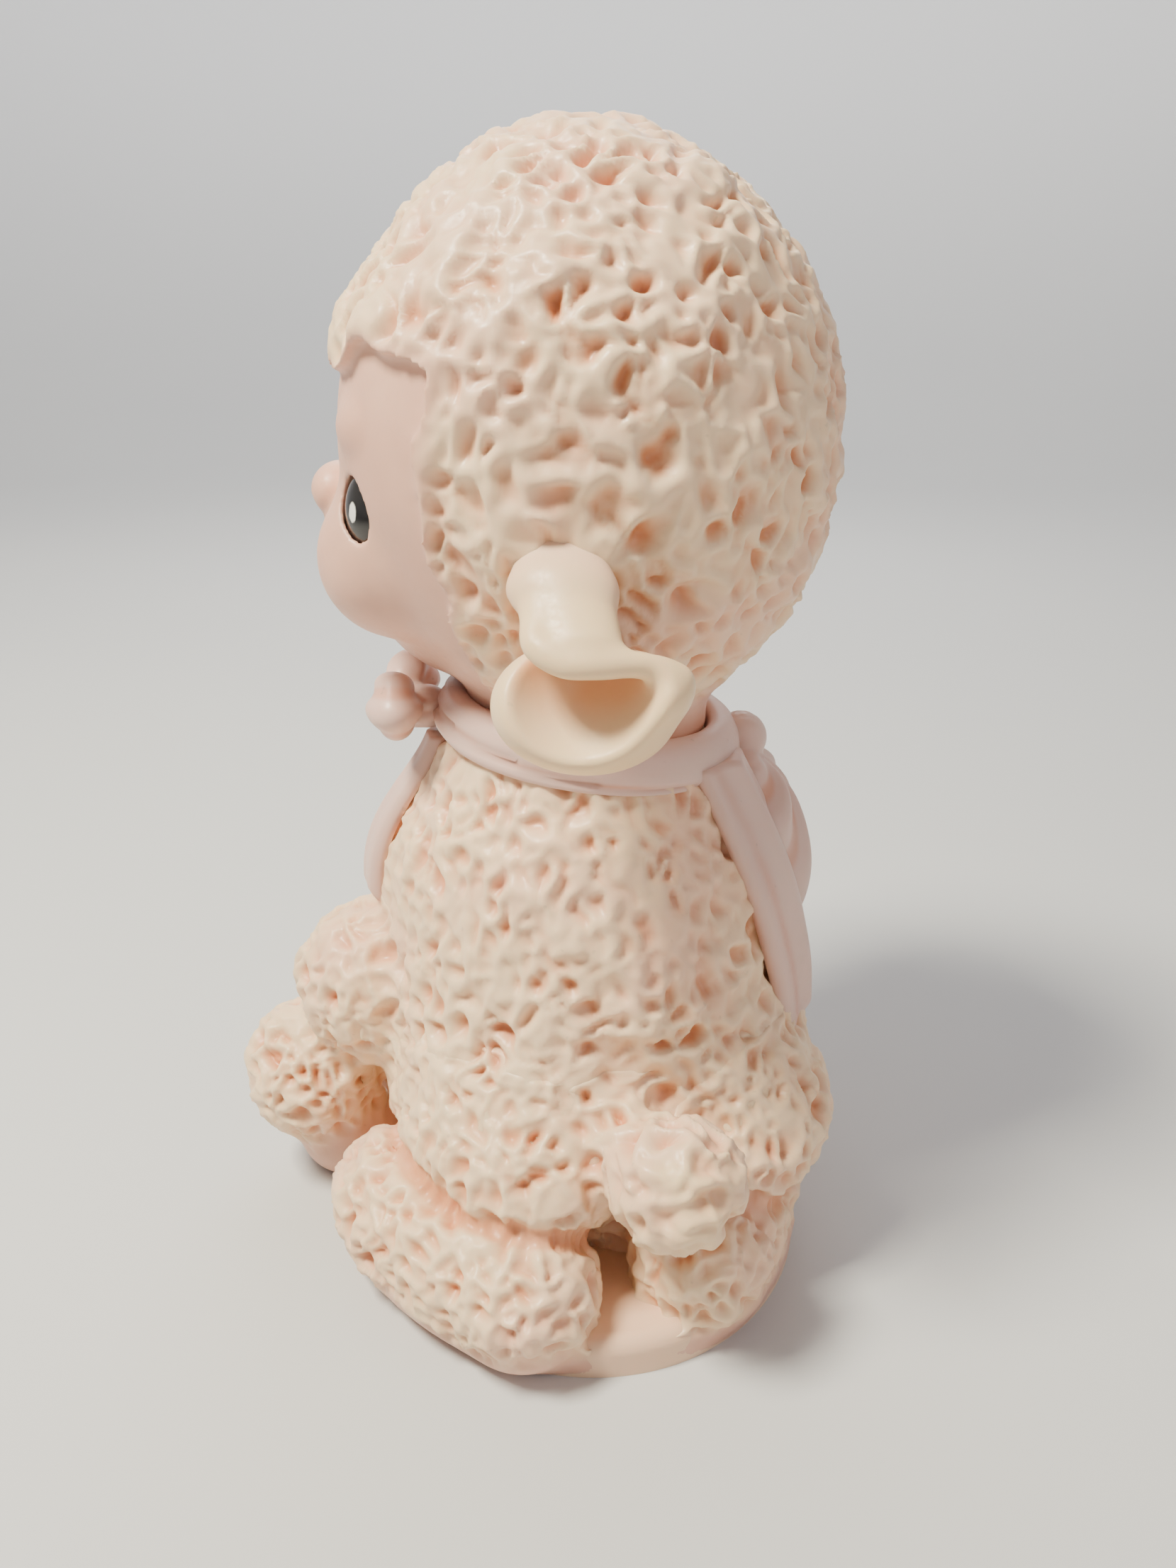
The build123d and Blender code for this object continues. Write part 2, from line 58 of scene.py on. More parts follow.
# The head's turn to the lamb's left, and the bearing of the bow under its chin
HEAD_TURN = 65.0
CHIN_BEARING = 71.0

Array = np.ndarray
Field = Callable[[Array], Array]
Triple = tuple[float, float, float]
log = logging.getLogger("lamb")


class Rider(str, Enum):
    """The moving bodies of the toy."""

    BODY = "body"
    HEAD = "head"


class Slot(str, Enum):
    """The finishes that the record names."""

    WOOL = "woolly_vinyl"
    SMOOTH = "smooth_vinyl"
    RIBBON = "ribbon_vinyl"
    EYE = "eye_paint"


class Side(int, Enum):
    """The lamb's own sides."""

    LEFT = 1
    RIGHT = -1

    @property
    def word(self) -> str:
        """The side's name for a piece."""
        return self.name.lower()


# Signed distance shapes


def around(bearing: float | Array, reach: float | Array, height: float | Array) -> Array:
    """Points at a bearing and reach from the upright axis.

    Args:
        bearing: angle from the front, in degrees.
        reach: distance from the axis.
        height: level above the ground.

    Returns:
        One point, or a point a row.
    """
    turn = np.radians(bearing)
    parts = np.broadcast_arrays(reach * np.sin(turn), -reach * np.cos(turn), height)
    return np.stack(parts, axis=-1).astype(np.float32)


def table(rows: Array, columns: Array) -> tuple[Array, Array]:
    """Every pair of a row value and a column value, row by row."""
    first, second = np.meshgrid(rows, columns, indexing="ij")
    return first.ravel(), second.ravel()


def spun(points: Array, degrees: float) -> Array:
    """Points turned about the upright axis.

    Args:
        points: points, one a row.
        degrees: the turn, counter-clockwise from above.

    Returns:
        The turned points.
    """
    c, s = math.cos(math.radians(degrees)), math.sin(math.radians(degrees))
    x, y, z = points.T
    return np.stack([c * x - s * y, s * x + c * y, z], axis=1)


def tilted(points: Array, degrees: float) -> Array:
    """Points turned about the X axis.

    Args:
        points: points, one a row.
        degrees: the turn.

    Returns:
        The turned points.
    """
    c, s = math.cos(math.radians(degrees)), math.sin(math.radians(degrees))
    x, y, z = points.T
    return np.stack([x, c * y - s * z, s * y + c * z], axis=1)


def ball(points: Array, centre: Iterable[float], radius: float) -> Array:
    """Distance to a ball."""
    return np.linalg.norm(points - np.asarray(centre, np.float32), axis=1) - radius


def egg(points: Array, centre: Iterable[float], radii: Iterable[float]) -> Array:
    """Distance to a ball with three half sizes, close to true near its skin.

    Args:
        points: points, one a row.
        centre: the middle.
        radii: half sizes along X, Y and Z.

    Returns:
        One distance a point.
    """
    p = points - np.asarray(centre, np.float32)
    r = np.asarray(radii, np.float32)
    k0 = np.linalg.norm(p / r, axis=1)
    k1 = np.maximum(np.linalg.norm(p / (r * r), axis=1), 1e-6)
    return k0 * (k0 - 1.0) / k1


def rod(points: Array, a: Iterable[float], b: Iterable[float], ra: float, rb: float) -> Array:
    """Distance to a round rod whose radius changes from end to end.

    Args:
        points: points, one a row.
        a: first end.
        b: second end.
        ra: radius at the first end.
        rb: radius at the second end.

    Returns:
        One distance a point.
    """
    a, b = np.asarray(a, np.float32), np.asarray(b, np.float32)
    axis = b - a
    t = np.clip((points - a) @ axis / (axis @ axis), 0, 1)
    return np.linalg.norm(points - a - t[:, None] * axis, axis=1) - (ra + (rb - ra) * t)


def join(a: Array, b: Array, soft: float) -> Array:
    """The union of two shapes with a rounded inner corner."""
    h = np.clip(0.5 + 0.5 * (b - a) / soft, 0, 1)
    return b + (a - b) * h - soft * h * (1 - h)


def cut(a: Array, b: Array, soft: float) -> Array:
    """Shape a with shape b taken out, with rounded edges."""
    return -join(-a, b, soft)


def smooth_line(at: Array, values: Array) -> Array:
    """Values along a smooth curve through given values.

    Args:
        at: where the values are wanted, in steps from the first one.
        values: the curve's values at each whole step.

    Returns:
        One value for each place.
    """
    pull = np.gradient(values)
    low = np.clip(np.floor(at).astype(int), 0, len(values) - 2)
    t = at - low
    start = (2 * t**3 - 3 * t**2 + 1) * values[low] + (t**3 - 2 * t**2 + t) * pull[low]
    end = (3 * t**2 - 2 * t**3) * values[low + 1] + (t**3 - t**2) * pull[low + 1]
    return start + end


def ramp(low: float, high: float, value: Array) -> Array:
    """A smooth step from 0 at low to 1 at high."""
    t = np.clip((value - low) / (high - low), 0, 1)
    return t * t * (3 - 2 * t)


# Skins from shapes

CORNERS = np.array(list(product((0, 1), repeat=3)))
EDGES = [(a, b) for a in range(8) for b in range(a + 1, 8) if abs(CORNERS[a] - CORNERS[b]).sum() == 1]


def slope(shape: Field, points: Array, reach: float = 0.15) -> Array:
    """Outward directions of a shape at points, of length one.

    Args:
        shape: the shape's distance.
        points: points, one a row.
        reach: how far to feel on each side.

    Returns:
        One direction a point.
    """
    parts = []
    for axis in range(3):
        step = np.zeros(3, np.float32)
        step[axis] = reach
        parts.append(shape(points + step) - shape(points - step))
    normal = np.stack(parts, axis=1)
    return normal / np.maximum(np.linalg.norm(normal, axis=1, keepdims=True), 1e-9)


# Points along a block, blocks worked on at once, rounds that free a skin of pinches, and the
# small depth of a filled point
BLOCK = 6
BLOCKS_AT_ONCE = 2000
SETTLE_ROUNDS = 6
FILLED = 0.001

# Rounds that pull a skin onto its shape, and the share of the gap that each closes
PULL_ROUNDS = 3
PULL_SHARE = 0.9


def lattice(counts: Iterable[int]) -> Array:
    """All whole-number places of a block, three a row."""
    return np.stack(np.meshgrid(*[np.arange(c) for c in counts], indexing="ij"), axis=-1).reshape(-1, 3)


def room_values(shape: Field, low: Array, count: Array, step: float) -> Array:
    """A shape's distance at the points of a room, exact only in the blocks near its skin.

    Args:
        shape: the shape's distance.
        low: lowest corner of the room.
        count: points along each side.
        step: distance between points.

    Returns:
        The distances, as a block of three sides.
    """
    blocks = -(-count // BLOCK)
    cells = lattice(blocks)
    middle = (low + (cells * BLOCK + (BLOCK - 1) / 2) * step).astype(np.float32)
    rough = shape(middle).astype(np.float32)
    inner = lattice([BLOCK] * 3)
    filled = np.repeat(rough[:, None], len(inner), axis=1)
    near = np.flatnonzero(np.abs(rough) < BLOCK * step * 1.5 + 1.0)
    for first in range(0, len(near), BLOCKS_AT_ONCE):
        some = near[first:first + BLOCKS_AT_ONCE]
        at = low + (cells[some][:, None] * BLOCK + inner[None]) * step
        filled[some] = shape(at.reshape(-1, 3).astype(np.float32)).reshape(len(some), -1)
    full = filled.reshape(*blocks, BLOCK, BLOCK, BLOCK).transpose(0, 3, 1, 4, 2, 5)
    return full.reshape(blocks * BLOCK)[:count[0], :count[1], :count[2]]


def settle(values: Array) -> Array:
    """A room's distances without contacts from corner to corner, which would pinch a skin.

    Args:
        values: distances at the room's points.

    Returns:
        The distances, with one more point filled at each such contact.
    """
    values = values.copy()
    for _ in range(SETTLE_ROUNDS):
        for u, w in ((0, 1), (1, 2), (2, 0)):
            plane = np.moveaxis(values, (u, w), (0, 1))
            full = plane < 0
            a, b, c, d = full[:-1, :-1], full[1:, :-1], full[1:, 1:], full[:-1, 1:]
            for pinched, first, second in (
                (b & d & ~a & ~c, (0, 0, 0), (1, 1, 0)), (a & c & ~b & ~d, (1, 0, 0), (0, 1, 0)),
            ):
                at = np.argwhere(pinched)
                one, other = tuple((at + first).T), tuple((at + second).T)
                nearer = plane[one] <= plane[other]
                for corner, chosen in ((one, nearer), (other, ~nearer)):
                    plane[tuple(axis[chosen] for axis in corner)] = -FILLED
    return values


def largest_part(points: Array, faces: Array) -> tuple[Array, Array]:
    """The largest connected part of a skin, without stray crumbs.

    Args:
        points: the skin's points, one a row.
        faces: its faces, as rows of point numbers.

    Returns:
        The points and the faces that are kept.
    """
    label = np.arange(len(points))
    settled = False
    while not settled:
        lowest = label[faces].min(axis=1)
        spread = label.copy()
        np.minimum.at(spread, faces.ravel(), np.repeat(lowest, faces.shape[1]))
        spread = spread[spread]
        settled = bool((spread == label).all())
        label = spread
    owner = label[faces[:, 0]]
    names, sizes = np.unique(owner, return_counts=True)
    kept = faces[owner == names[sizes.argmax()]]
    used, flat = np.unique(kept, return_inverse=True)
    return points[used], flat.reshape(kept.shape)


def skin(shape: Field, low: Iterable[float], high: Iterable[float], step: float) -> tuple[Array, Array]:
    """The closed skin of a shape, made of even four-sided faces.

    Args:
        shape: the shape's distance, negative inside.
        low: lowest corner of the room that holds it.
        high: highest corner of the room.
        step: size of a face.

    Returns:
        The points and the faces.
    """
    low = np.asarray(low, np.float32)
    count = np.ceil((np.asarray(high) - low) / step).astype(int) + 1
    values = settle(room_values(shape, low, count, step))
    n = count - 1
    corner_values = [values[i:n[0] + i, j:n[1] + j, k:n[2] + k] for i, j, k in CORNERS]
    filled = sum((v < 0).astype(np.int8) for v in corner_values)
    mixed = (filled > 0) & (filled < 8)
    cells = np.argwhere(mixed)
    v = np.stack([c[mixed] for c in corner_values], axis=1)
    total = np.zeros((len(cells), 3))
    hits = np.zeros(len(cells))
    for a, b in EDGES:
        crossed = (v[:, a] < 0) != (v[:, b] < 0)
        t = np.where(crossed, v[:, a] / np.where(crossed, v[:, a] - v[:, b], 1), 0)
        total += crossed[:, None] * (CORNERS[a] + t[:, None] * (CORNERS[b] - CORNERS[a]))
        hits += crossed
    points = (low + (cells + total / hits[:, None]) * step).astype(np.float32)
    index = np.full(n, -1, np.int64)
    index[mixed] = np.arange(len(cells))
    inside = values < 0
    faces = []
    for axis in range(3):
        u, w = (axis + 1) % 3, (axis + 2) % 3
        first = np.take(inside, range(n[axis]), axis)
        second = np.take(inside, range(1, n[axis] + 1), axis)
        for flip, change in ((False, first & ~second), (True, ~first & second)):
            at = np.argwhere(change)
            at = at[(at[:, u] > 0) & (at[:, w] > 0) & (at[:, u] < n[u]) & (at[:, w] < n[w])]
            ring = []
            for du, dw in ((1, 1), (0, 1), (0, 0), (1, 0)):
                cell = at.copy()
                cell[:, u] -= du
                cell[:, w] -= dw
                ring.append(index[cell[:, 0], cell[:, 1], cell[:, 2]])
            quad = np.stack(ring, axis=1)
            faces.append(quad[:, ::-1] if flip else quad)
    points, faces = largest_part(points, np.concatenate(faces))
    for _ in range(PULL_ROUNDS):
        points = points - shape(points)[:, None] * slope(shape, points) * PULL_SHARE
    return points, faces


def soften(points: Array, faces: Array, rounds: int) -> Array:
    """Rounds off a skin's sharp ridges.

    Args:
        points: the skin's points, one a row.
        faces: its faces, as rows of point numbers.
        rounds: how many times each point moves half-way to the middle of its neighbours.

    Returns:
        The moved points.
    """
    ends = np.stack([faces, np.roll(faces, -1, axis=1)], axis=2).transpose(1, 0, 2).reshape(-1, 2)
    count = np.maximum(np.bincount(ends[:, 0], minlength=len(points)), 1)[:, None]
    for _ in range(rounds):
        total = [np.bincount(ends[:, 0], points[ends[:, 1], axis], len(points)) for axis in range(3)]
        points = 0.5 * points + 0.5 * np.stack(total, axis=1) / count
    return points.astype(np.float32)


# Noise and wool relief


# Large odd numbers that spread a cell's place over many chance values
LATTICE_SPREAD = (73856093, 19349663, 83492791)
SEED_SPREAD = 2654435761
VALUE_SPREAD = 974634281
MIXER = 73244475
WORD = 0xFFFFFFFF
HALF_WORD = 0xFFFF


def scatter(cell: Array, seed: int) -> Array:
    """Fixed chance values for the cells of a lattice.

    Args:
        cell: whole numbers, three a row.
        seed: picks another set of values.

    Returns:
        Three values from 0 to 1 for each cell.
    """
    x, y, z = (cell.astype(np.int64) * LATTICE_SPREAD).T
    start = x ^ y ^ z ^ (seed * SEED_SPREAD)
    out = []
    for k in range(3):
        g = (start + k * VALUE_SPREAD) & WORD
        for _ in range(2):
            g = ((g ^ (g >> 16)) * MIXER) & WORD
        out.append(((g ^ (g >> 16)) & HALF_WORD) / float(HALF_WORD))
    return np.stack(out, axis=1)


def swell(points: Array, size: float, seed: int) -> Array:
    """Soft random swells.

    Args:
        points: points, one a row.
        size: distance between swells.
        seed: picks another pattern.

    Returns:
        Three independent values from -1 to 1 for each point.
    """
    q = points / size
    base = np.floor(q)
    t = q - base
    t = t * t * t * (t * (t * 6 - 15) + 10)
    total = 0.0
    for corner in CORNERS:
        weight = np.prod(np.where(corner == 1, t, 1 - t), axis=1)
        total = total + weight[:, None] * scatter(base + corner, seed)
    return total * 2 - 1


def curls(points: Array, seed: int) -> tuple[Array, Array]:
    """How far each point is from the edge of its curl cell.

    Args:
        points: points in units of one cell.
        seed: picks another pattern.

    Returns:
        The gap to the edge, 0 on it, and a chance value of the cell.
    """
    base = np.floor(points)
    near = np.full(len(points), np.inf)
    second = near.copy()
    chance = np.zeros(len(points))
    for offset in product((-1, 0, 1), repeat=3):
        cell = base + offset
        value = scatter(cell, seed)
        d = np.linalg.norm(points - cell - value, axis=1)
        closer = d < near
        second = np.where(closer, near, np.minimum(second, d))
        chance = np.where(closer, (value[:, 0] * 7.13 + value[:, 2] * 3.71) % 1.0, chance)
        near = np.where(closer, d, near)
    return second - near, chance


@dataclass(frozen=True)
class Wool:
    """One pattern of moulded wool: rounded, winding ridges around pits."""

    cell: float
    depth: float
    seed: int
    wall: float = 0.7
    rise: float = 1.0
    warp: float = 2.2
    least: float = 0.65
    fine: float = 0.26
    coarse_cell: float = 1.35
    coarse_patch: float = 4.5
    winding_cell: float = 0.85

    def pits(self, points: Array) -> Array:
        """How deep the wool is at points, from 0 on a ridge to 1 in a deep pit.

        Args:
            points: points in millimetres, one a row.

        Returns:
            One value a point.
        """
        bent = points + self.warp * swell(points, self.cell * 1.1, self.seed)
        bent = bent * np.array([1, 1, 1 / self.rise], np.float32)
        coarse = ramp(0.14, 0.24, swell(points, self.coarse_patch * self.cell, self.seed + 3)[:, 0])
        deep = np.zeros(len(points))
        for size, share in ((self.cell, 1 - coarse), (self.coarse_cell * self.cell, coarse)):
            gap, chance = curls(bent / size, self.seed + 1)
            deep += share * ramp(0.0, self.wall, gap) * (self.least + (1 - self.least) * chance)
        winding = swell(bent, self.cell * self.winding_cell, self.seed + 2)
        between = ramp(0.04, 0.5, np.abs(winding[:, 0])) * ramp(-0.9, 0.3, winding[:, 1])
        return np.clip((1 - self.fine) * deep + self.fine * between, 0, 1)


# Pieces


def add_piece(
    name: str, node: str, points: Array, faces: Array | list, rider: Rider,
    material: bpy.types.Material, traits: dict[str, Array],
) -> None:
    """Makes a smooth-shaded piece that rides on a body.

    Args:
        name: the piece's name.
        node: the solid that it stands for.
        points: points in millimetres.
        faces: faces as point numbers.
        rider: the body that carries it.
        material: its material.
        traits: values at the points for the material.
    """
    mesh = bpy.data.meshes.new(name)
    mesh.from_pydata((np.asarray(points, float) * MM).tolist(), [], [list(map(int, f)) for f in faces])
    mesh.validate()
    mesh.polygons.foreach_set("use_smooth", [True] * len(mesh.polygons))
    for trait, values in traits.items():
        layer = mesh.attributes.new(trait, "FLOAT", "POINT")
        layer.data.foreach_set("value", np.asarray(values, np.float32))
    mesh.update()
    obj = bpy.data.objects.new(name, mesh)
    bpy.context.scene.collection.objects.link(obj)
    obj.data.materials.append(material)
    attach(obj, rider.value)
    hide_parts(node)
    log.info("%s: %d faces", name, len(mesh.polygons))


def smooth_traits(pit: Array, warm: Array | float = 0.0) -> dict[str, Array]:
    """The material's values for a piece without wool: its hollows, coloured as painted shade, and its warmer
    places.
    """
    return {"pit": pit, "wool": np.zeros(len(pit)), "warm": np.zeros(len(pit)) + warm}


def tube_faces(rows: int, sides: int, first: int = 0) -> list[tuple[int, ...]]:
    """Four-sided faces between rings of points that follow one another.

    Args:
        rows: how many gaps between rings there are.
        sides: points in a ring.
        first: number of the first ring's first point.

    Returns:
        The faces, which turn with the points of a ring.
    """
    faces = []
    for row, i in product(range(rows), range(sides)):
        a, b = first + row * sides + i, first + row * sides + (i + 1) % sides
        faces.append((a, a + sides, b + sides, b))
    return faces


def grid_step() -> float:
    return FINE_STEP


# Finishes


Socket = bpy.types.NodeSocket
COLOUR, VALUE = "NodeSocketColor", "NodeSocketFloat"
WHITE = (1, 1, 1, 1)


class Shader:
    """Builds one node tree, a material's or a group's, with short calls."""

    def __init__(self, tree: bpy.types.NodeTree) -> None:
        """Starts from an empty tree."""
        self.tree = tree
        tree.nodes.clear()

    def node(self, kind: str, inputs: dict | None = None, **settings: object) -> bpy.types.Node:
        """Adds a node.

        Args:
            kind: the node's type.
            inputs: values or sockets for its inputs, by name or number.
            settings: the node's own settings.

        Returns:
            The node.
        """
        node = self.tree.nodes.new(kind)
        for key, value in settings.items():
            setattr(node, key, value)
        for key, value in (inputs or {}).items():
            if isinstance(value, Socket):
                self.tree.links.new(value, node.inputs[key])
            else:
                node.inputs[key].default_value = value
        return node

    def mix(self, share: object, a: object, b: object) -> Socket:
        """Mixes a share of the second colour into the first."""
        return self.node("ShaderNodeMix", {0: share, 6: a, 7: b}, data_type="RGBA").outputs[2]

    def maths(self, kind: str, a: object, b: object) -> Socket:
        """One sum on two values."""
        return self.node("ShaderNodeMath", {0: a, 1: b}, operation=kind, use_clamp=True).outputs[0]

    def span(self, value: object, low: float, high: float, to: tuple[float, float] = (0.0, 1.0)) -> Socket:
        """A value spread from one range to another, kept within it."""
        inputs = {0: value, 1: low, 2: high, 3: to[0], 4: to[1]}
        return self.node("ShaderNodeMapRange", inputs, interpolation_type="SMOOTHSTEP").outputs[0]

    def place(self) -> Socket:
        """The point in the piece's own space."""
        return self.node("ShaderNodeTexCoord").outputs["Object"]

    def noise(self, scale: object, detail: float) -> Socket:
        """Soft noise in the piece's own space."""
        inputs = {"Vector": self.place(), "Scale": scale, "Detail": detail}
        return self.node("ShaderNodeTexNoise", inputs).outputs[0]

    def trait(self, name: str) -> Socket:
        """A value that the mesh carries at its points."""
        return self.node("ShaderNodeAttribute", attribute_name=name).outputs["Fac"]

    def effect(self, tree: bpy.types.NodeTree, inputs: dict) -> bpy.types.Node:
        """Places one of the shared effects."""
        return self.node("ShaderNodeGroup", inputs, node_tree=tree)

    def surface(self, inputs: dict) -> None:
        """Ends a material with its shader."""
        shader = self.node("ShaderNodeBsdfPrincipled", inputs)
        self.node("ShaderNodeOutputMaterial", {0: shader.outputs[0]})


def new_material(name: str) -> tuple[bpy.types.Material, Shader]:
    """An empty material.

    Args:
        name: its name.

    Returns:
        The material and the builder of its nodes.
    """
    material = bpy.data.materials.new(name)
    material.use_nodes = True
    return material, Shader(material.node_tree)


def new_group(name: str, inputs: dict[str, tuple[str, object]], outputs: dict[str, str]) -> tuple:
    """A shader node group with named sockets.

    Args:
        name: the group's name.
        inputs: socket type and default value by name.
        outputs: socket type by name.

    Returns:
        The shader builder, the group's input node and its output node.
    """
    tree = bpy.data.node_groups.new(name, "ShaderNodeTree")
    build = Shader(tree)
    for key, (kind, value) in inputs.items():
        tree.interface.new_socket(key, in_out="INPUT", socket_type=kind).default_value = value
    for key, kind in outputs.items():
        tree.interface.new_socket(key, in_out="OUTPUT", socket_type=kind)
    return build, build.node("NodeGroupInput"), build.node("NodeGroupOutput")


def blotch_group() -> bpy.types.NodeTree:
    """Uneven pigment: soft patches of a second tint.

    Returns:
        The node group.
    """
    sockets = {"Colour": (COLOUR, WHITE), "Tint": (COLOUR, WHITE)}
    sockets |= {"Scale": (VALUE, 40.0), "Amount": (VALUE, 0.5)}
    build, start, end = new_group("uneven_pigment", sockets, {"Colour": COLOUR})
    cloud = build.span(build.noise(start.outputs["Scale"], 4.0), 0.42, 0.66)
    share = build.maths("MULTIPLY", cloud, start.outputs["Amount"])
    build.tree.links.new(build.mix(share, start.outputs["Colour"], start.outputs["Tint"]), end.inputs[0])
    return build.tree


def grime_group() -> bpy.types.NodeTree:
    """Handling marks: sparse grey specks and faint smudges.

    Returns:
        The node group.
    """
    sockets = {"Colour": (COLOUR, WHITE), "Amount": (VALUE, 0.5)}
    build, start, end = new_group("handling_marks", sockets, {"Colour": COLOUR, "Mask": VALUE})
    smudge = build.span(build.noise(55.0, 5.0), 0.6, 0.78, (0.0, 0.35))
    speck = build.span(build.noise(420.0, 2.0), 0.72, 0.78, (0.0, 0.6))
    mask = build.maths("MULTIPLY", build.maths("MAXIMUM", smudge, speck), start.outputs["Amount"])
    build.tree.links.new(build.mix(mask, start.outputs["Colour"], (0.33, 0.26, 0.2, 1)), end.inputs[0])
    build.tree.links.new(mask, end.inputs[1])
    return build.tree


def grain_group() -> bpy.types.NodeTree:
    """The fine skin of moulded vinyl.

    Returns:
        The node group.
    """
    build, start, end = new_group("vinyl_grain", {"Scale": (VALUE, 900.0)}, {"Height": VALUE})
    build.tree.links.new(build.noise(start.outputs["Scale"], 3.0), end.inputs[0])
    return build.tree


@dataclass(frozen=True)
class Effects:
    """The shared effects, each made once."""

    blotch: bpy.types.NodeTree = field(default_factory=blotch_group)
    grime: bpy.types.NodeTree = field(default_factory=grime_group)
    grain: bpy.types.NodeTree = field(default_factory=grain_group)


@dataclass(frozen=True)
class Vinyl:
    """Soft moulded vinyl, with a warm painted shade in its hollows."""

    name: str
    ridge: Triple
    hollow: Triple
    tint: Triple
    smooth: Triple
    yellow: Triple = (0.92, 0.7, 0.38)
    roughness: float = 0.4
    grime: float = 0.35
    patch_scale: float = 38.0
    patch_amount: float = 0.55
    grain_scale: float = 900.0
    glow: float = 0.22
    glow_colour: Triple = (1.0, 0.45, 0.28)
    glow_depth: float = 0.0016

    def material(self, effects: Effects) -> bpy.types.Material:
        """Builds the material.

        Args:
            effects: the shared effects.

        Returns:
            The material.
        """
        material, build = new_material(self.name)
        pit = build.trait("pit")
        # Painted shade: the hollows and creases that the pit trait marks are coloured darker and warmer.
        hollow = (*self.hollow, 1)
        woolly = build.mix(build.span(pit, 0.08, 0.85), (*self.ridge, 1), hollow)
        plain = build.mix(build.span(pit, 0.0, 1.0), (*self.smooth, 1), hollow)
        colour = build.mix(build.trait("wool"), plain, woolly)
        colour = build.mix(build.trait("warm"), colour, (*self.yellow, 1))
        patch = build.effect(effects.blotch, {
            "Colour": colour, "Tint": (*self.tint, 1), "Scale": self.patch_scale, "Amount": self.patch_amount,
        })
        marks = build.effect(effects.grime, {"Colour": patch.outputs[0], "Amount": self.grime})
        grain = build.effect(effects.grain, {"Scale": self.grain_scale}).outputs[0]
        bump = build.node("ShaderNodeBump", {"Height": grain, "Strength": 0.06, "Distance": 0.0004})
        build.surface({
            "Base Color": marks.outputs[0],
            "Roughness": build.span(grain, 0.3, 0.7, (self.roughness - 0.06, self.roughness + 0.08)),
            "Normal": bump.outputs[0], "Specular IOR Level": 0.4, "Subsurface Weight": self.glow,
            "Subsurface Radius": self.glow_colour, "Subsurface Scale": self.glow_depth,
        })
        return material


@dataclass(frozen=True)
class EyePaint:
    """Glossy black eye with a brown lower rim and a white spot painted in as a highlight."""

    name: str = "glossy_eye_paint"
    black: Triple = (0.006, 0.006, 0.008)
    brown: Triple = (0.045, 0.026, 0.02)
    white: Triple = (0.85, 0.83, 0.8)
    grime: float = 0.08

    def material(self, effects: Effects) -> bpy.types.Material:
        """Builds the material.

        Args:
            effects: the shared effects.

        Returns:
            The material.
        """
        material, build = new_material(self.name)
        colour = build.mix(build.trait("rim"), (*self.black, 1), (*self.brown, 1))
        # Painted highlight: the white spot.
        colour = build.mix(build.span(build.trait("glint"), 0.35, 0.65), colour, (*self.white, 1))
        marks = build.effect(effects.grime, {"Colour": colour, "Amount": self.grime})
        build.surface({
            "Base Color": marks.outputs[0], "Roughness": build.span(marks.outputs[1], 0.0, 0.1, (0.12, 0.3)),
            "Coat Weight": 0.6, "Coat Roughness": 0.06,
        })
        return material


@dataclass(frozen=True)
class StampedMetal:
    """Dull stamped tin of the whistle."""

    name: str = "stamped_tin"
    colour: Triple = (0.52, 0.5, 0.46)
    grime: float = 0.8
    grain_scale: float = 1500.0

    def material(self, effects: Effects) -> bpy.types.Material:
        """Builds the material.

        Args:
            effects: the shared effects.

        Returns:
            The material.
        """
        material, build = new_material(self.name)
        marks = build.effect(effects.grime, {"Colour": (*self.colour, 1), "Amount": self.grime})
        grain = build.effect(effects.grain, {"Scale": self.grain_scale}).outputs[0]
        build.surface({
            "Base Color": marks.outputs[0], "Roughness": build.span(grain, 0.3, 0.7, (0.28, 0.45)),
            "Metallic": 1.0,
        })
        return material


# The body


@dataclass(frozen=True)
class Room:
    """Where a limb's skin is looked for, how far it reaches past the limb and how low it lies."""

    low: Triple
    high: Triple
    margin: float
    inset: float


ROOMS = {
    "torso": Room((-56, -56, 0), (62, 56, 110), 6.0, 0.2),
    "tail": Room((-34, 14, 18), (38, 82, 60), 5.0, 0.1),
    "left_hind_leg": Room((-14, -26, 0), (84, 84, 64), 5.0, 0.0),
    "left_front_leg": Room((14, -48, 0), (86, 26, 78), 4.0, 0.05),
    "right_hind_leg": Room((-56, -26, 0), (24, 84, 64), 5.0, 0.0),
    "right_front_leg": Room((-72, -76, 0), (-4, -4, 78), 4.0, 0.05),
}


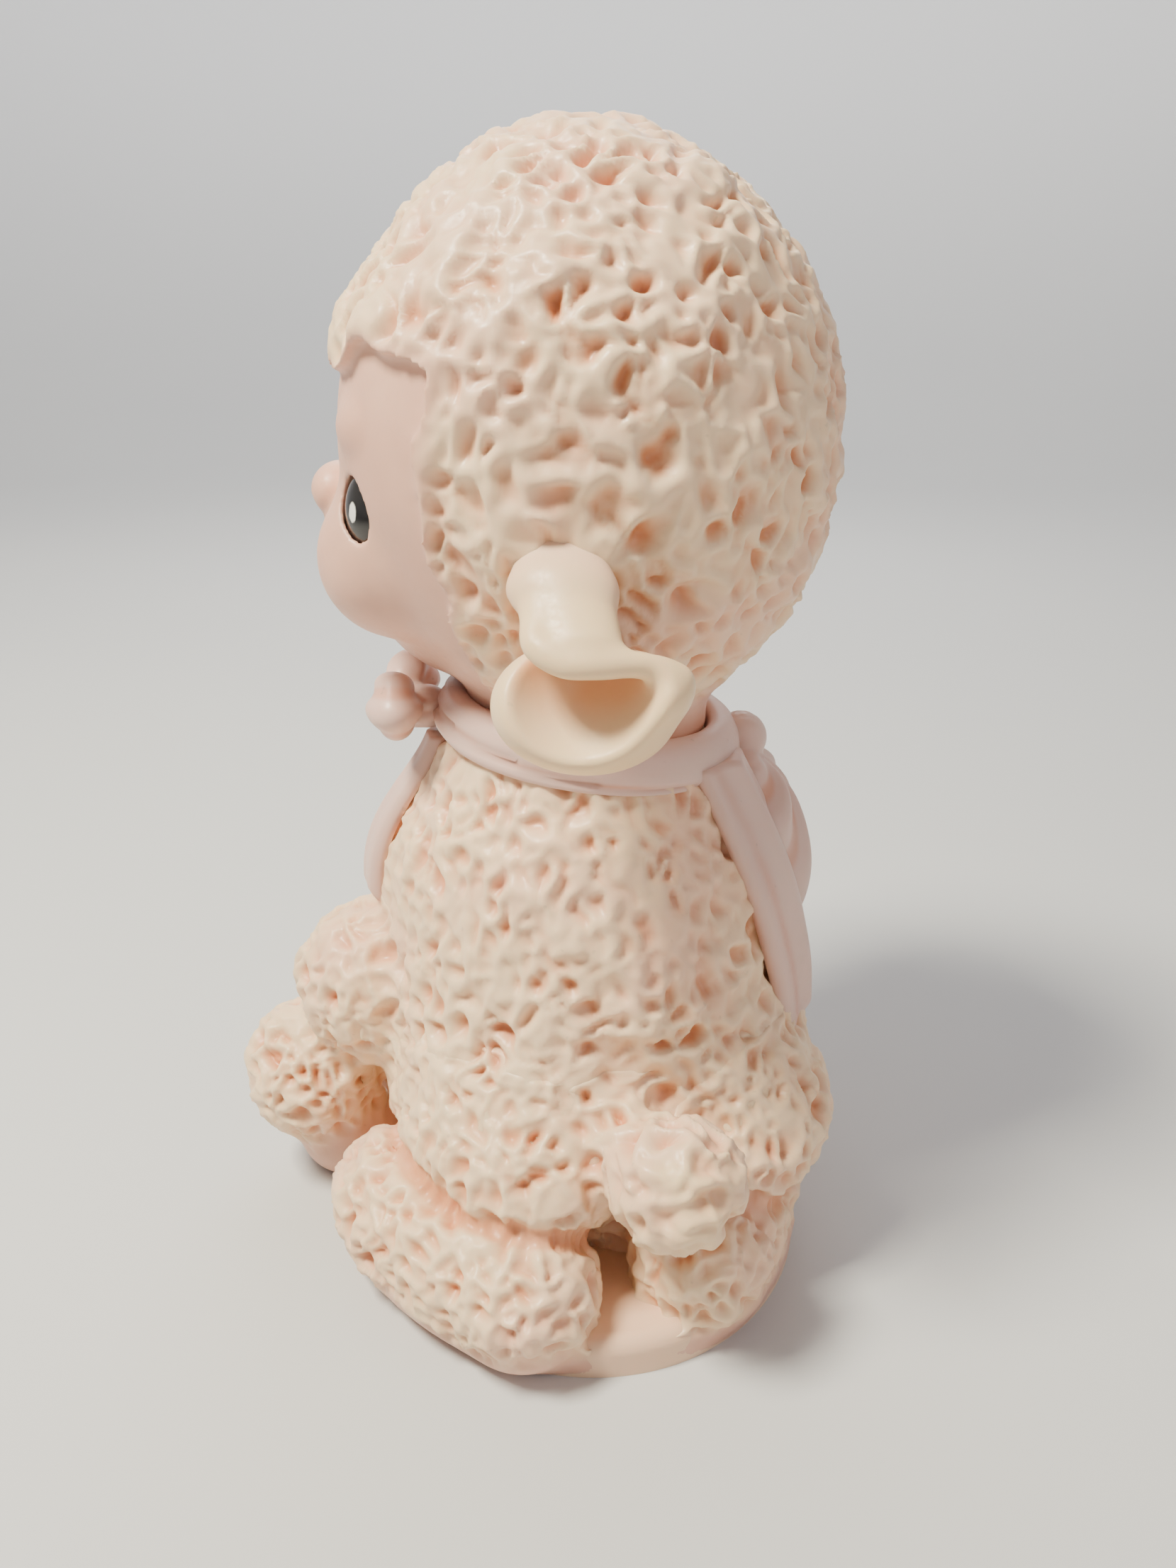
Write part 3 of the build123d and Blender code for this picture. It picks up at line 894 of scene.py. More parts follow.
@dataclass
class Body:
    """Torso, legs and tail: one soft moulding, made as a piece for each limb.

    The breast, the front legs and the tail are placed by bearing, reach and level. The
    hind legs are placed by X, Y and Z, for the left side.
    """

    torso_levels: tuple[float, ...] = (0.0, 8.0, 34.0, 60.0, 82.0, 98.0, 110.0)
    torso_radii: tuple[float, ...] = (38.0, 40.5, 46.0, 45.0, 41.0, 35.0, 28.0)
    torso_blur: int = 12
    torso_slant: float = 0.95
    breast: Triple = (55.0, 15.0, 75.0)
    breast_half: Triple = (31.0, 31.0, 28.0)
    breast_soft: float = 6.0
    collar: float = 109.0
    thigh_place: Triple = (22.4, 20.5, 31.5)
    thigh_half: Triple = (24.5, 35.0, 21.5)
    thigh_turn: float = 7.0
    shin_place: Triple = (29.0, 33.0, 14.0)
    shin_shift: float = 9.0
    shin_half: Triple = (16.8, 34.0, 16.0)
    shin_turn: float = 30.0
    knee: Triple = (0.5, -16.0, 14.5)
    heel: Triple = (-1.0, 20.5, 15.3)
    chest_twist: float = 15.0
    shoulder: Triple = (62.0, 46.0, 50.0)
    shoulder_radius: float = 19.0
    foot: Triple = (60.0, 62.0, 26.0)
    foot_radius: float = 17.0
    hoof: Triple = (60.0, 56.0, 10.0)
    hoof_radius: float = 12.0
    bare_drop: float = 2.0
    bare_radius: float = 13.5
    tail_root: Triple = (160.0, 36.0, 39.5)
    tail_tip: Triple = (180.0, 59.5, 40.0)
    tail_stem: tuple[float, float] = (10.5, 9.5)
    tail_half: Triple = (13.4, 12.8, 13.2)
    tail_worn: Triple = (180.0, 68.0, 42.0)
    plate_middle: Triple = (5.0, 11.0, 0.0)
    plate_half: Triple = (47.0, 53.0, 1.0)
    plate_edge: float = 48.0
    plate_top: float = 7.0
    soft: float = 3.5
    haunch_soft: float = 13.0
    haunch_levels: tuple[float, float] = (36.0, 52.0)
    nape_levels: tuple[float, float] = (64.0, 88.0)
    crease_depth: float = 1.3
    lump_height: float = 0.8
    soft_rounds: int = 2
    back_wool: Wool = Wool(5.0, 4.7, 21)
    nape_wool: Wool = Wool(3.8, 3.8, 31, rise=1.9, warp=1.5)
    leg_wool: Wool = Wool(4.5, 4.3, 41, warp=1.9, least=0.62, fine=0.28)
    tail_wool: Wool = Wool(5.6, 4.8, 51, least=0.62)

    def torso(self, points: Array) -> Array:
        """Distance to the torso.

        Args:
            points: points, one a row.

        Returns:
            One distance a point.
        """
        profile = self.profile()
        radius = np.hypot(points[:, 0], points[:, 1])
        level = points[:, 2]
        out = np.interp(level, np.arange(len(profile)), profile).astype(np.float32)
        side = (radius - out) * self.torso_slant
        side = join(side, egg(points, around(*self.breast), self.breast_half), self.breast_soft)
        return np.maximum(side, level - self.collar)

    def profile(self) -> Array:
        """The torso's outline, smoothed.

        Returns:
            The radius at each whole millimetre of height.
        """
        levels = np.arange(-self.torso_blur, int(self.torso_levels[-1]) + self.torso_blur + 1)
        kernel = np.hanning(2 * self.torso_blur + 1)
        rough = np.interp(levels, self.torso_levels, self.torso_radii)
        return np.convolve(rough, kernel / kernel.sum(), "valid")

    def reach(self, bearing: Array, level: Array) -> Array:
        """How far the torso's skin is from the upright axis.

        Args:
            bearing: angles from the front.
            level: heights.

        Returns:
            One distance for each pair.
        """
        low, high = np.full(len(bearing), 20.0), np.full(len(bearing), 80.0)
        for _ in range(24):
            middle = (low + high) / 2
            inside = self.torso(around(bearing, middle, level)) < 0
            low, high = np.where(inside, middle, low), np.where(inside, high, middle)
        return low

    def thigh(self, points: Array, side: Side) -> Array:
        """Distance to one haunch.

        Args:
            points: points, one a row.
            side: the lamb's side.

        Returns:
            One distance a point.
        """
        place = np.array(self.thigh_place, np.float32) * (side, 1, 1)
        local = spun((points - place).astype(np.float32), -self.thigh_turn * side)
        return egg(local, (0, 0, 0), self.thigh_half)

    def shin(self, points: Array, side: Side) -> Array:
        """Distance to one folded lower leg.

        Args:
            points: points, one a row.
            side: the lamb's side.

        Returns:
            One distance a point.
        """
        place = np.array(self.shin_place, np.float32) * (side, 1, 1) + (self.shin_shift, 0, 0)
        local = spun((points - place).astype(np.float32), -self.shin_turn * side)
        (knee_x, knee_y, knee_radius), (heel_x, heel_y, heel_radius) = self.knee, self.heel
        roll = rod(local, (knee_x * side, knee_y, 0), (heel_x * side, heel_y, 0), knee_radius, heel_radius)
        return join(egg(local, (0, 0, 0), self.shin_half), roll, 4.0)

    def hind_leg(self, points: Array, side: Side) -> Array:
        """Distance to one hind leg."""
        return join(self.thigh(points, side), self.shin(points, side), 1.0)

    def at_chest(self, place: Triple, side: Side) -> Array:
        """A point of a front leg, on the twisted chest."""
        bearing, reach, level = place
        return around(self.chest_twist + bearing * side, reach, level)

    def front_leg(self, points: Array, side: Side) -> Array:
        """Distance to one front leg.

        Args:
            points: points, one a row.
            side: the lamb's side.

        Returns:
            One distance a point.
        """
        shoulder = ball(points, self.at_chest(self.shoulder, side), self.shoulder_radius)
        foot = ball(points, self.at_chest(self.foot, side), self.foot_radius)
        hoof = ball(points, self.at_chest(self.hoof, side), self.hoof_radius)
        return join(join(shoulder, foot, 2.5), hoof, 4.0)

    def bare_hooves(self, points: Array) -> Array:
        """Distance to the smooth ends of the front legs.

        Args:
            points: points, one a row.

        Returns:
            One distance a point.
        """
        drop = np.array([0, 0, self.bare_drop], np.float32)
        places = [self.at_chest(self.hoof, side) - drop for side in Side]
        return np.minimum.reduce([ball(points, place, self.bare_radius) for place in places])

    def tail(self, points: Array) -> Array:
        """Distance to the tail."""
        root, tip = around(*self.tail_root), around(*self.tail_tip)
        return join(rod(points, root, tip, *self.tail_stem), egg(points, tip, self.tail_half), 2.0)

    def plate(self, points: Array) -> Array:
        """Distance to the base plate, as a block with a soft edge.

        Args:
            points: points, one a row.

        Returns:
            One distance a point.
        """
        p = (points - np.array(self.plate_middle, np.float32)) / np.array(self.plate_half, np.float32)
        side = (np.hypot(p[:, 0], p[:, 1]) - 1) * self.plate_edge
        return np.maximum(side, points[:, 2] - self.plate_top)

    def limbs(self, points: Array) -> dict[str, Array]:
        """Distances to the torso and each limb.

        Args:
            points: points, one a row.

        Returns:
            One distance a point, by the limb's name.
        """
        parts = {"torso": self.torso(points), "tail": self.tail(points)}
        for side in Side:
            parts[f"{side.word}_hind_leg"] = self.hind_leg(points, side)
            parts[f"{side.word}_front_leg"] = self.front_leg(points, side)
        return parts

    def whole(self, parts: dict[str, Array], points: Array) -> Array:
        """Distance to the whole soft moulding, with rounded meetings.

        Args:
            parts: distances to the torso and each limb.
            points: points, one a row.

        Returns:
            One distance a point.
        """
        total = parts["torso"]
        haunch = self.soft + (self.haunch_soft - self.soft) * ramp(*self.haunch_levels, points[:, 2])
        for side in Side:
            total = join(total, parts[f"{side.word}_hind_leg"], haunch)
        for name in ("tail", "left_front_leg", "right_front_leg"):
            total = join(total, parts[name], self.soft)
        total = join(total, self.plate(points), self.soft)
        return np.maximum(total, GROUND - points[:, 2])

    def moulding(self, points: Array) -> Array:
        """Distance to the whole soft moulding."""
        return self.whole(self.limbs(points), points)

    def piece_shape(self, name: str, room: Room) -> Field:
        """The part of the moulding near one limb, as a closed shape.

        Args:
            name: the limb.
            room: its margin and inset, which keeps skins from sharing a face.

        Returns:
            The shape's distance.
        """
        def shape(points: Array) -> Array:
            """Distance to the piece."""
            parts = self.limbs(points)
            total = np.maximum(self.whole(parts, points) + room.inset, parts[name] - room.margin)
            return np.maximum(total, points[:, 2] - self.collar)
        return shape

    def relief(self, points: Array) -> tuple[Array, Array, Array]:
        """Wool of the body at points.

        Args:
            points: points, one a row.

        Returns:
            Pit depth in millimetres, pit value, which also colours the pits and the leg creases as painted
            shade, and wool share.
        """
        parts = self.limbs(points)
        legs = np.minimum.reduce([parts[n] for n in parts if "leg" in n])
        leg_share = ramp(-2.0, 5.0, parts["torso"] - legs)
        tail_share = ramp(4.0, 1.0, parts["tail"]) * ramp(-1.0, 4.0, parts["torso"])
        nape_share = ramp(*self.nape_levels, points[:, 2]) * (1 - leg_share)
        back_share = 1 - np.maximum(leg_share, nape_share)
        pit = np.zeros(len(points))
        depth = np.zeros(len(points))
        for wool, share in (
            (self.back_wool, back_share * (1 - tail_share)), (self.nape_wool, nape_share * (1 - tail_share)),
            (self.leg_wool, leg_share * (1 - tail_share)), (self.tail_wool, tail_share),
        ):
            value = wool.pits(points) * share
            pit += value
            depth += value * wool.depth
        for side in Side:
            thigh, shin = self.thigh(points, side), self.shin(points, side)
            crease = ramp(3.5, 0.0, np.abs(thigh - shin)) * ramp(5.0, 1.0, np.maximum(thigh, shin))
            depth += self.crease_depth * crease
            # Painted shade: the crease between thigh and shin is coloured like a deep pit.
            pit = np.maximum(pit, 0.7 * crease)
        lump = swell(points, 8.0, 77)[:, 0]
        edge = points[:, 2] + 2.0 * swell(points, 6.0, 78)[:, 1]
        share = ramp(4.0, 9.0, edge) * ramp(-2.0, 3.0, self.bare_hooves(points) + 1.5 * lump)
        return (depth - self.lump_height * lump) * share, pit * share, share

    def build(self, material: bpy.types.Material) -> None:
        """Makes the torso, the four legs and the tail.

        Args:
            material: the woolly vinyl.
        """
        for name, room in ROOMS.items():
            step = grid_step() * (TORSO_STEP if name == "torso" else 1.0)
            points, faces = skin(self.piece_shape(name, room), room.low, room.high, step)
            depth, pit, share = self.relief(points)
            sunk = depth * ramp(-2.5, -0.6, self.moulding(points))
            moved = soften(points - sunk[:, None] * slope(self.moulding, points), faces, self.soft_rounds)
            moved[:, 2] = np.maximum(moved[:, 2], GROUND)
            # The tail is coloured yellower towards its outer end.
            from_yellow_middle = np.linalg.norm(points - around(*self.tail_worn), axis=1)
            warm = 0.5 * ramp(16.0, 6.0, from_yellow_middle) if name == "tail" else 0 * depth
            node = "torso_shell" if name == "torso" else name
            add_piece(f"{name}_wool", node, moved, faces, Rider.BODY, material,
                      {"pit": pit, "wool": share, "warm": warm})


# The head


@dataclass(frozen=True)
class Form:
    """A rounded form of the left side or the middle, placed and then turned to its bearing."""

    place: Triple
    half: Triple
    soft: float
    bearing: float = 0.0

    def distance(self, points: Array, side: Side = Side.LEFT) -> Array:
        """Distance to the form, or to its mirror image on the right side."""
        x, y, z = self.place
        return egg(spun(points, -self.bearing * side), (x * side, y, z), self.half)


@dataclass
class Head:
    """Woolly head with a smooth face and neck, turned to the lamb's left."""

    middle: float = 164.0
    radius: float = 47.5
    crown: float = 55.0
    jowl: float = 54.0
    wool_rise: float = 1.4
    window_width: float = 42.5
    window_drop: float = 12.0
    forehead: float = 22.5
    neck_radius: float = 24.0
    neck_foot: float = 109.6
    cheek: Form = Form((0.0, -36.5, 145.0), (15.0, 15.0, 15.0), 5.0, 25.0)
    brow: Form = Form((0.0, -43.2, 169.0), (6.5, 4.0, 4.2), 3.0, 36.0)
    muzzle: Form = Form((0.0, -40.0, 147.0), (13.5, 12.5, 10.5), 4.0)
    nose: Form = Form((0.0, -49.2, 155.0), (7.5, 5.5, 5.5), 1.6)
    jaw: Form = Form((0.0, -27.0, 135.0), (15.0, 15.0, 15.0), 6.0)
    eye: Form = Form((0.0, -42.9, 154.0), (5.9, 4.1, 8.0), 0.0, 35.0)
    socket: Form = Form((0.0, -43.5, 154.0), (6.1, 3.6, 8.0), 1.2, 35.0)
    nostril: Form = Form((3.0, -54.6, 153.0), (1.6, 1.6, 1.0), 1.0)
    smile_level: float = 152.0
    smile_radius: float = 10.5
    smile_half: float = 0.5
    smile_top: float = 145.0
    smile_reach: float = 50.0
    fringe_level: float = 187.0
    fringe_height: float = 2.2
    fringe_width: float = 9.0
    wool: Wool = Wool(5.0, 4.1, 61, wall=0.72, warp=2.3, least=0.68, fine=0.28)
    lump_height: float = 0.9
    soft_rounds: int = 2

    def dome(self, points: Array, grow: float) -> Array:
        """Distance to the head's egg form.

        Args:
            points: points, one a row.
            grow: how much larger the form is.

        Returns:
            One distance a point.
        """
        p = points - np.array([0, 0, self.middle], np.float32)
        tall = np.where(p[:, 2] > 0, self.crown + grow, self.jowl + grow).astype(np.float32)
        wide = np.full(len(p), self.radius + grow, np.float32)
        half = np.stack([wide, wide, tall], axis=1)
        k0 = np.linalg.norm(p / half, axis=1)
        k1 = np.linalg.norm(p / half / half, axis=1)
        return k0 * (k0 - 1) / np.maximum(k1, 1e-6)

    def window(self, points: Array) -> Array:
        """Distance inside the smooth face's outline, negative on the face.

        Args:
            points: points, one a row.

        Returns:
            One distance a point.
        """
        ripple = 2.2 * swell(points, 8.0, 90)
        low = np.maximum(self.middle - 9.0 - points[:, 2], 0)
        across = np.abs(points[:, 0]) + ripple[:, 0] + 0.2 * low
        rise = points[:, 2] + ripple[:, 2] - 0.22 * np.abs(points[:, 0]) - (self.middle - self.window_drop)
        high = np.where(rise > 0, self.forehead, 80.0)
        flat = ((across / self.window_width) ** 8 + (rise / high) ** 8) ** 0.125 - 1
        behind = np.maximum(points[:, 1] + 12.0 + 0.3 * low, 0)
        return (flat * np.minimum(high, 40.0) * 0.9 + behind).astype(np.float32)

    def face(self, points: Array) -> Array:
        """Distance to the smooth face, facing the front.

        Args:
            points: points, one a row.

        Returns:
            One distance a point.
        """
        face = self.dome(points, -self.wool_rise)
        for side in Side:
            for form in (self.cheek, self.brow):
                face = join(face, form.distance(points, side), form.soft)
        for form in (self.muzzle, self.nose, self.jaw):
            face = join(face, form.distance(points), form.soft)
        for side in Side:
            for form in (self.socket, self.nostril):
                face = cut(face, form.distance(points, side), form.soft)
        smile = np.hypot(points[:, 0] * 0.55, points[:, 2] - self.smile_level) - self.smile_radius
        smile = np.maximum(np.abs(smile) - self.smile_half, points[:, 2] - self.smile_top)
        smile = np.maximum(smile, np.abs(points[:, 1] + self.smile_reach) - 6.0)
        return cut(face, smile, 1.0)

    def shape(self, points: Array) -> Array:
        """Distance to the head, facing the front.

        Args:
            points: points, one a row.

        Returns:
            One distance a point.
        """
        front = ramp(10.0, -20.0, points[:, 1])
        level = (points[:, 2] - self.fringe_level) / self.fringe_width
        fringe = self.fringe_height * np.exp(-level ** 2) * front
        cap = np.maximum(self.dome(points, 0.0) - fringe, -self.window(points))
        head = join(self.face(points), cap, 2.0)
        neck = np.hypot(points[:, 0], points[:, 1]) - self.neck_radius
        head = join(head, np.maximum(neck, points[:, 2] - self.middle), 4.0)
        return np.maximum(head, self.neck_foot - points[:, 2])

    def build(self, material: bpy.types.Material) -> None:
        """Makes the head's skin with its wool.

        Args:
            material: the woolly vinyl.
        """
        points, faces = skin(self.shape, (-51, -58, 103), (51, 51, 222), grid_step() * HEAD_STEP)
        normal = slope(lambda at: self.dome(at, 0.0), points)
        level = points[:, 2] + 2.5 * swell(points, 7.0, 91)[:, 2]
        share = ramp(-0.4, 1.8, self.window(points)) * ramp(117.0, 122.0, level)
        pit = self.wool.pits(points)
        lump = swell(points, 8.0, 92)[:, 0]
        depth = (self.wool.depth * pit - self.lump_height * lump) * share
        moved = spun(soften(points - depth[:, None] * normal, faces, self.soft_rounds), HEAD_TURN)
        # Painted shade on the neck just above the band.
        neck_shade = 0.5 * ramp(6.0, 0.0, points[:, 2] - 112.0) * ramp(121, 116, points[:, 2])
        add_piece("head_skin", "head_shell", moved, faces, Rider.HEAD, material,
                  {"pit": np.maximum(pit * share, neck_shade), "wool": share, "warm": 0 * pit})

    def build_eyes(self, material: bpy.types.Material) -> None:
        """Makes both eyes.

        Args:
            material: the eye paint.
        """
        rings, sides = 24, 40
        turns = [2 * math.pi * j / sides for j in range(sides)]
        tilts = [math.pi * i / rings for i in range(1, rings)]
        a, b = np.array([(0.0, 0.0), *product(tilts, turns), (math.pi, 0.0)]).T
        x, y, z = np.sin(a) * np.cos(b), -np.cos(a), np.sin(a) * np.sin(b)
        narrow = 1 - 0.28 * np.maximum(z, 0.0) ** 1.5
        points = np.stack([x * narrow, y, z], axis=1) * self.eye.half + self.eye.place
        rim = np.clip((-z - 0.1) * 1.4, 0, 1) * np.minimum(1.0, (x * x + z * z) * 1.3)
        last = len(points) - 1
        faces = tube_faces(rings - 2, sides, 1)
        for j in range(sides):
            k = (j + 1) % sides
            faces += [(0, 1 + j, 1 + k), (last, last - sides + k, last - sides + j)]
        for side in Side:
            # Painted highlight: a white spot in the eye's colour, placed where the camera sees it.
            spot = ((x - 0.4 * side) / 0.19) ** 2 + ((z - 0.14) / 0.24) ** 2
            glint = np.where(y < 0, np.exp(-spot ** 2), 0.0)
            placed = spun(points, self.eye.bearing * side + HEAD_TURN)
            name = f"{side.word}_eye"
            add_piece(f"{name}_gloss", name, placed, faces, Rider.HEAD, material,
                      {"glint": glint, "rim": rim})


@dataclass
class Ear:
    """A drooping ear: an upper petal that curls over a cupped lower lobe, open to the outside."""

    strap: tuple[Triple, ...] = ((30.0, 0.0, 160.0), (47.5, 3.5, 147.0), (56.0, 7.5, 140.5))
    strap_half: tuple[float, ...] = (4.4, 4.5, 3.9)
    strap_width: float = 1.75
    lobe: Form = Form((51.0, 7.5, 129.3), (12.5, 15.0, 10.6), 0.0)
    tip: Form = Form((54.5, 18.5, 133.5), (6.5, 6.5, 5.0), 4.0)
    cup: Form = Form((70.0, 8.0, 141.5), (20.0, 16.4, 20.0), 2.0)
    lip: tuple[Triple, ...] = (
        (52.5, 0.5, 144.0), (57.5, 1.0, 141.0), (59.6, 5.5, 138.6),
        (59.2, 11.0, 138.4), (57.0, 17.0, 138.2), (54.0, 22.5, 135.4),
    )
    lip_radius: float = 1.9
    lip_stretches: int = 24
    soft: float = 2.5

    def shape(self, points: Array) -> Array:
        """Distance to the left ear, with the head facing the front.

        Args:
            points: points, one a row.

        Returns:
            One distance a point.
        """
        ear = join(self.lobe.distance(points), self.tip.distance(points), self.tip.soft)
        ear = cut(ear, self.cup.distance(points), self.cup.soft)
        narrow = np.array([1, 1 / self.strap_width, 1], np.float32)
        stops = [np.array(stop, np.float32) * narrow for stop in self.strap]
        for a, b, ra, rb in zip(stops, stops[1:], self.strap_half, self.strap_half[1:]):
            ear = join(ear, rod(points * narrow, a, b, ra, rb), self.soft)
        along = np.linspace(0, len(self.lip) - 1, self.lip_stretches + 1)
        line = np.stack([smooth_line(along, values) for values in np.array(self.lip).T], axis=1)
        rods = [rod(points, a, b, self.lip_radius, self.lip_radius) for a, b in zip(line, line[1:])]
        return join(ear, np.minimum.reduce(rods), self.soft)

    def build(self, material: bpy.types.Material) -> None:
        """Makes both ears.

        Args:
            material: the smooth vinyl.
        """
        points, faces = skin(self.shape, (22, -18, 115), (72, 32, 168), grid_step() * 0.9)
        out, _, level = points.T
        # Painted shade: the inside of the cup is coloured darker under the lip.
        deep = ramp(61.0, 53.0, out) * ramp(121.0, 133.0, level) * ramp(141.0, 137.0, level)
        pit = 0.7 * ramp(1.4, 0.2, np.abs(self.cup.distance(points))) * deep
        warm = 0.6 * ramp(46.0, 56.0, out) * (1 - pit)
        for side in Side:
            placed = spun(points * np.array([side, 1, 1], np.float32), HEAD_TURN)
            ring = faces if side is Side.LEFT else faces[:, ::-1]
            name = f"{side.word}_ear"
            add_piece(f"{name}_leaf", name, placed, ring, Rider.HEAD, material,
                      smooth_traits(pit, warm))


# The ribbon


@dataclass(frozen=True)
class Bow:
    """A gathered bow: a knot with a loop on each side of it."""

    name: str
    node: str
    bearing: float
    spread: float
    place: Triple
    half: Triple
    lean: float
    soft: float
    low: Triple
    high: Triple
    step: float
    fold_height: float
    sink: float
    shade: float

    def knot(self, points: Array) -> Array:
        """Distance to the knot."""
        raise NotImplementedError

    def folds(self, local: Array) -> Array:
        """Folds from -1 to 1, at points of the bow turned to the front."""
        raise NotImplementedError

    def shape(self, points: Array) -> Array:
        """Distance to the bow.

        Args:
            points: points, one a row.

        Returns:
            One distance a point.
        """
        bow = self.knot(points)
        for turn in (-self.spread, self.spread):
            local = spun(points, -(self.bearing + turn)) - np.array(self.place, np.float32)
            bow = join(bow, egg(tilted(local, self.lean), (0, 0, 0), self.half), self.soft)
        return bow

    def build(self, material: bpy.types.Material) -> None:
        """Makes the bow.

        Args:
            material: the ribbon's vinyl.
        """
        points, faces = skin(self.shape, self.low, self.high, grid_step() * self.step)
        fold = self.folds(spun(points, -self.bearing))
        moved = points + (self.fold_height * fold - self.sink)[:, None] * slope(self.shape, points)
        pit = ramp(-0.2, -1.0, fold) * self.shade
        add_piece(self.name, self.node, moved, faces, Rider.BODY, material, smooth_traits(pit))


@dataclass(frozen=True)
class ShoulderBow(Bow):
    """The large bow that hangs on the right shoulder."""

    knot_place: tuple[float, float] = (31.7, 105.5)
    knot_radius: float = 6.0
    gather_level: float = 106.0
    fold_count: float = 15.0

    def knot(self, points: Array) -> Array:
        """Distance to the knot, a ball."""
        return ball(points, around(self.bearing, *self.knot_place), self.knot_radius)

    def folds(self, local: Array) -> Array:
        """Folds that fan out below the knot.

        Args:
            local: points of the bow turned to the front.

        Returns:
            One height a point, from -1 to 1.
        """
        drop = self.gather_level - local[:, 2]
        away = np.hypot(local[:, 0], drop)
        angle = np.arctan2(local[:, 0], np.maximum(drop, 1.0))
        return np.cos(angle * self.fold_count + 0.6) * ramp(3.0, 14.0, away) * ramp(42.0, 24.0, away)


@dataclass(frozen=True)
class ChinBow(Bow):
    """The small bow under the chin."""

    knot_back: tuple[float, float] = (33.0, 112.0)
    knot_front: tuple[float, float] = (39.0, 111.5)
    knot_radii: tuple[float, float] = (5.0, 4.6)
    gather_level: float = 114.3
    fold_count: float = 9.0

    def knot(self, points: Array) -> Array:
        """Distance to the knot, a short rod from the band."""
        back, front = (around(self.bearing, *end) for end in (self.knot_back, self.knot_front))
        return rod(points, back, front, *self.knot_radii)

    def folds(self, local: Array) -> Array:
        """Folds that fan out to both sides of the knot.

        Args:
            local: points of the bow turned to the front.

        Returns:
            One height a point, from -1 to 1.
        """
        away = np.abs(local[:, 0])
        angle = np.arctan2(local[:, 2] - self.gather_level, away + 0.5)
        return np.cos(angle * self.fold_count) * ramp(2.0, 7.0, away)


@dataclass(frozen=True)
class RibbonEnd:
    """A ribbon end on the torso: level, bearing and half width in degrees at its top and foot."""

    name: str
    node: str
    top: Triple
    foot: Triple
    crest: float
    thickness: float = 2.5
    hem: float = 0.2
    sunk: float = 1.2
    rows: int = 48
    columns: int = 24

    def faces(self) -> list[tuple[int, ...]]:
        """Faces of the upper side, the lower side and the edge between them.

        Returns:
            The faces, with the lower side's points after the upper side's.
        """
        n = self.columns + 1
        lower = n * (self.rows + 1)
        faces = []
        for i, j in product(range(self.rows), range(self.columns)):
            a, b = i * n + j, (i + 1) * n + j
            faces += [(a, b, b + 1, a + 1), (lower + a, lower + a + 1, lower + b + 1, lower + b)]
        rim = [*range(self.columns), *(i * n + self.columns for i in range(self.rows))]
        rim += [self.rows * n + j for j in range(self.columns, 0, -1)]
        rim += [i * n for i in range(self.rows, 0, -1)]
        faces += [(a, b, lower + b, lower + a) for a, b in zip(rim, rim[1:] + rim[:1])]
        return faces

    def build(self, body: Body, material: bpy.types.Material) -> None:
        """Makes the ribbon end, which lies on the torso.

        Args:
            body: the body under it.
            material: the ribbon's vinyl.
        """
        share, u = table(np.linspace(0, 1, self.rows + 1), np.linspace(-1, 1, self.columns + 1))
        level, middle, half = (a + (b - a) * share for a, b in zip(self.top, self.foot))
        bearing = middle + u * half
        edge = np.sqrt(np.maximum(0.0, 1 - np.abs(u) ** 6) * np.minimum(1.0, (1 - share) * 14))
        ridge = self.crest * (np.exp(-((u - 0.12) / 0.24) ** 2) - 0.35 * np.exp(-((u + 0.45) / 0.22) ** 2))
        lift = self.hem + edge * (self.thickness - self.hem + ridge)
        reach = body.reach(bearing, level)
        upper, lower = around(bearing, reach + lift, level), around(bearing, reach - self.sunk, level)
        # Painted shade: darker in the groove beside the crest and at both edges.
        pit = 0.75 * np.exp(-((u + 0.55) / 0.2) ** 2) + 4.0 * np.maximum(0.0, np.abs(u) - 0.92)
        pit = np.clip(np.tile(pit, 2), 0, 1)
        add_piece(self.name, self.node, np.concatenate([upper, lower]), self.faces(), Rider.BODY,
                  material, smooth_traits(pit))


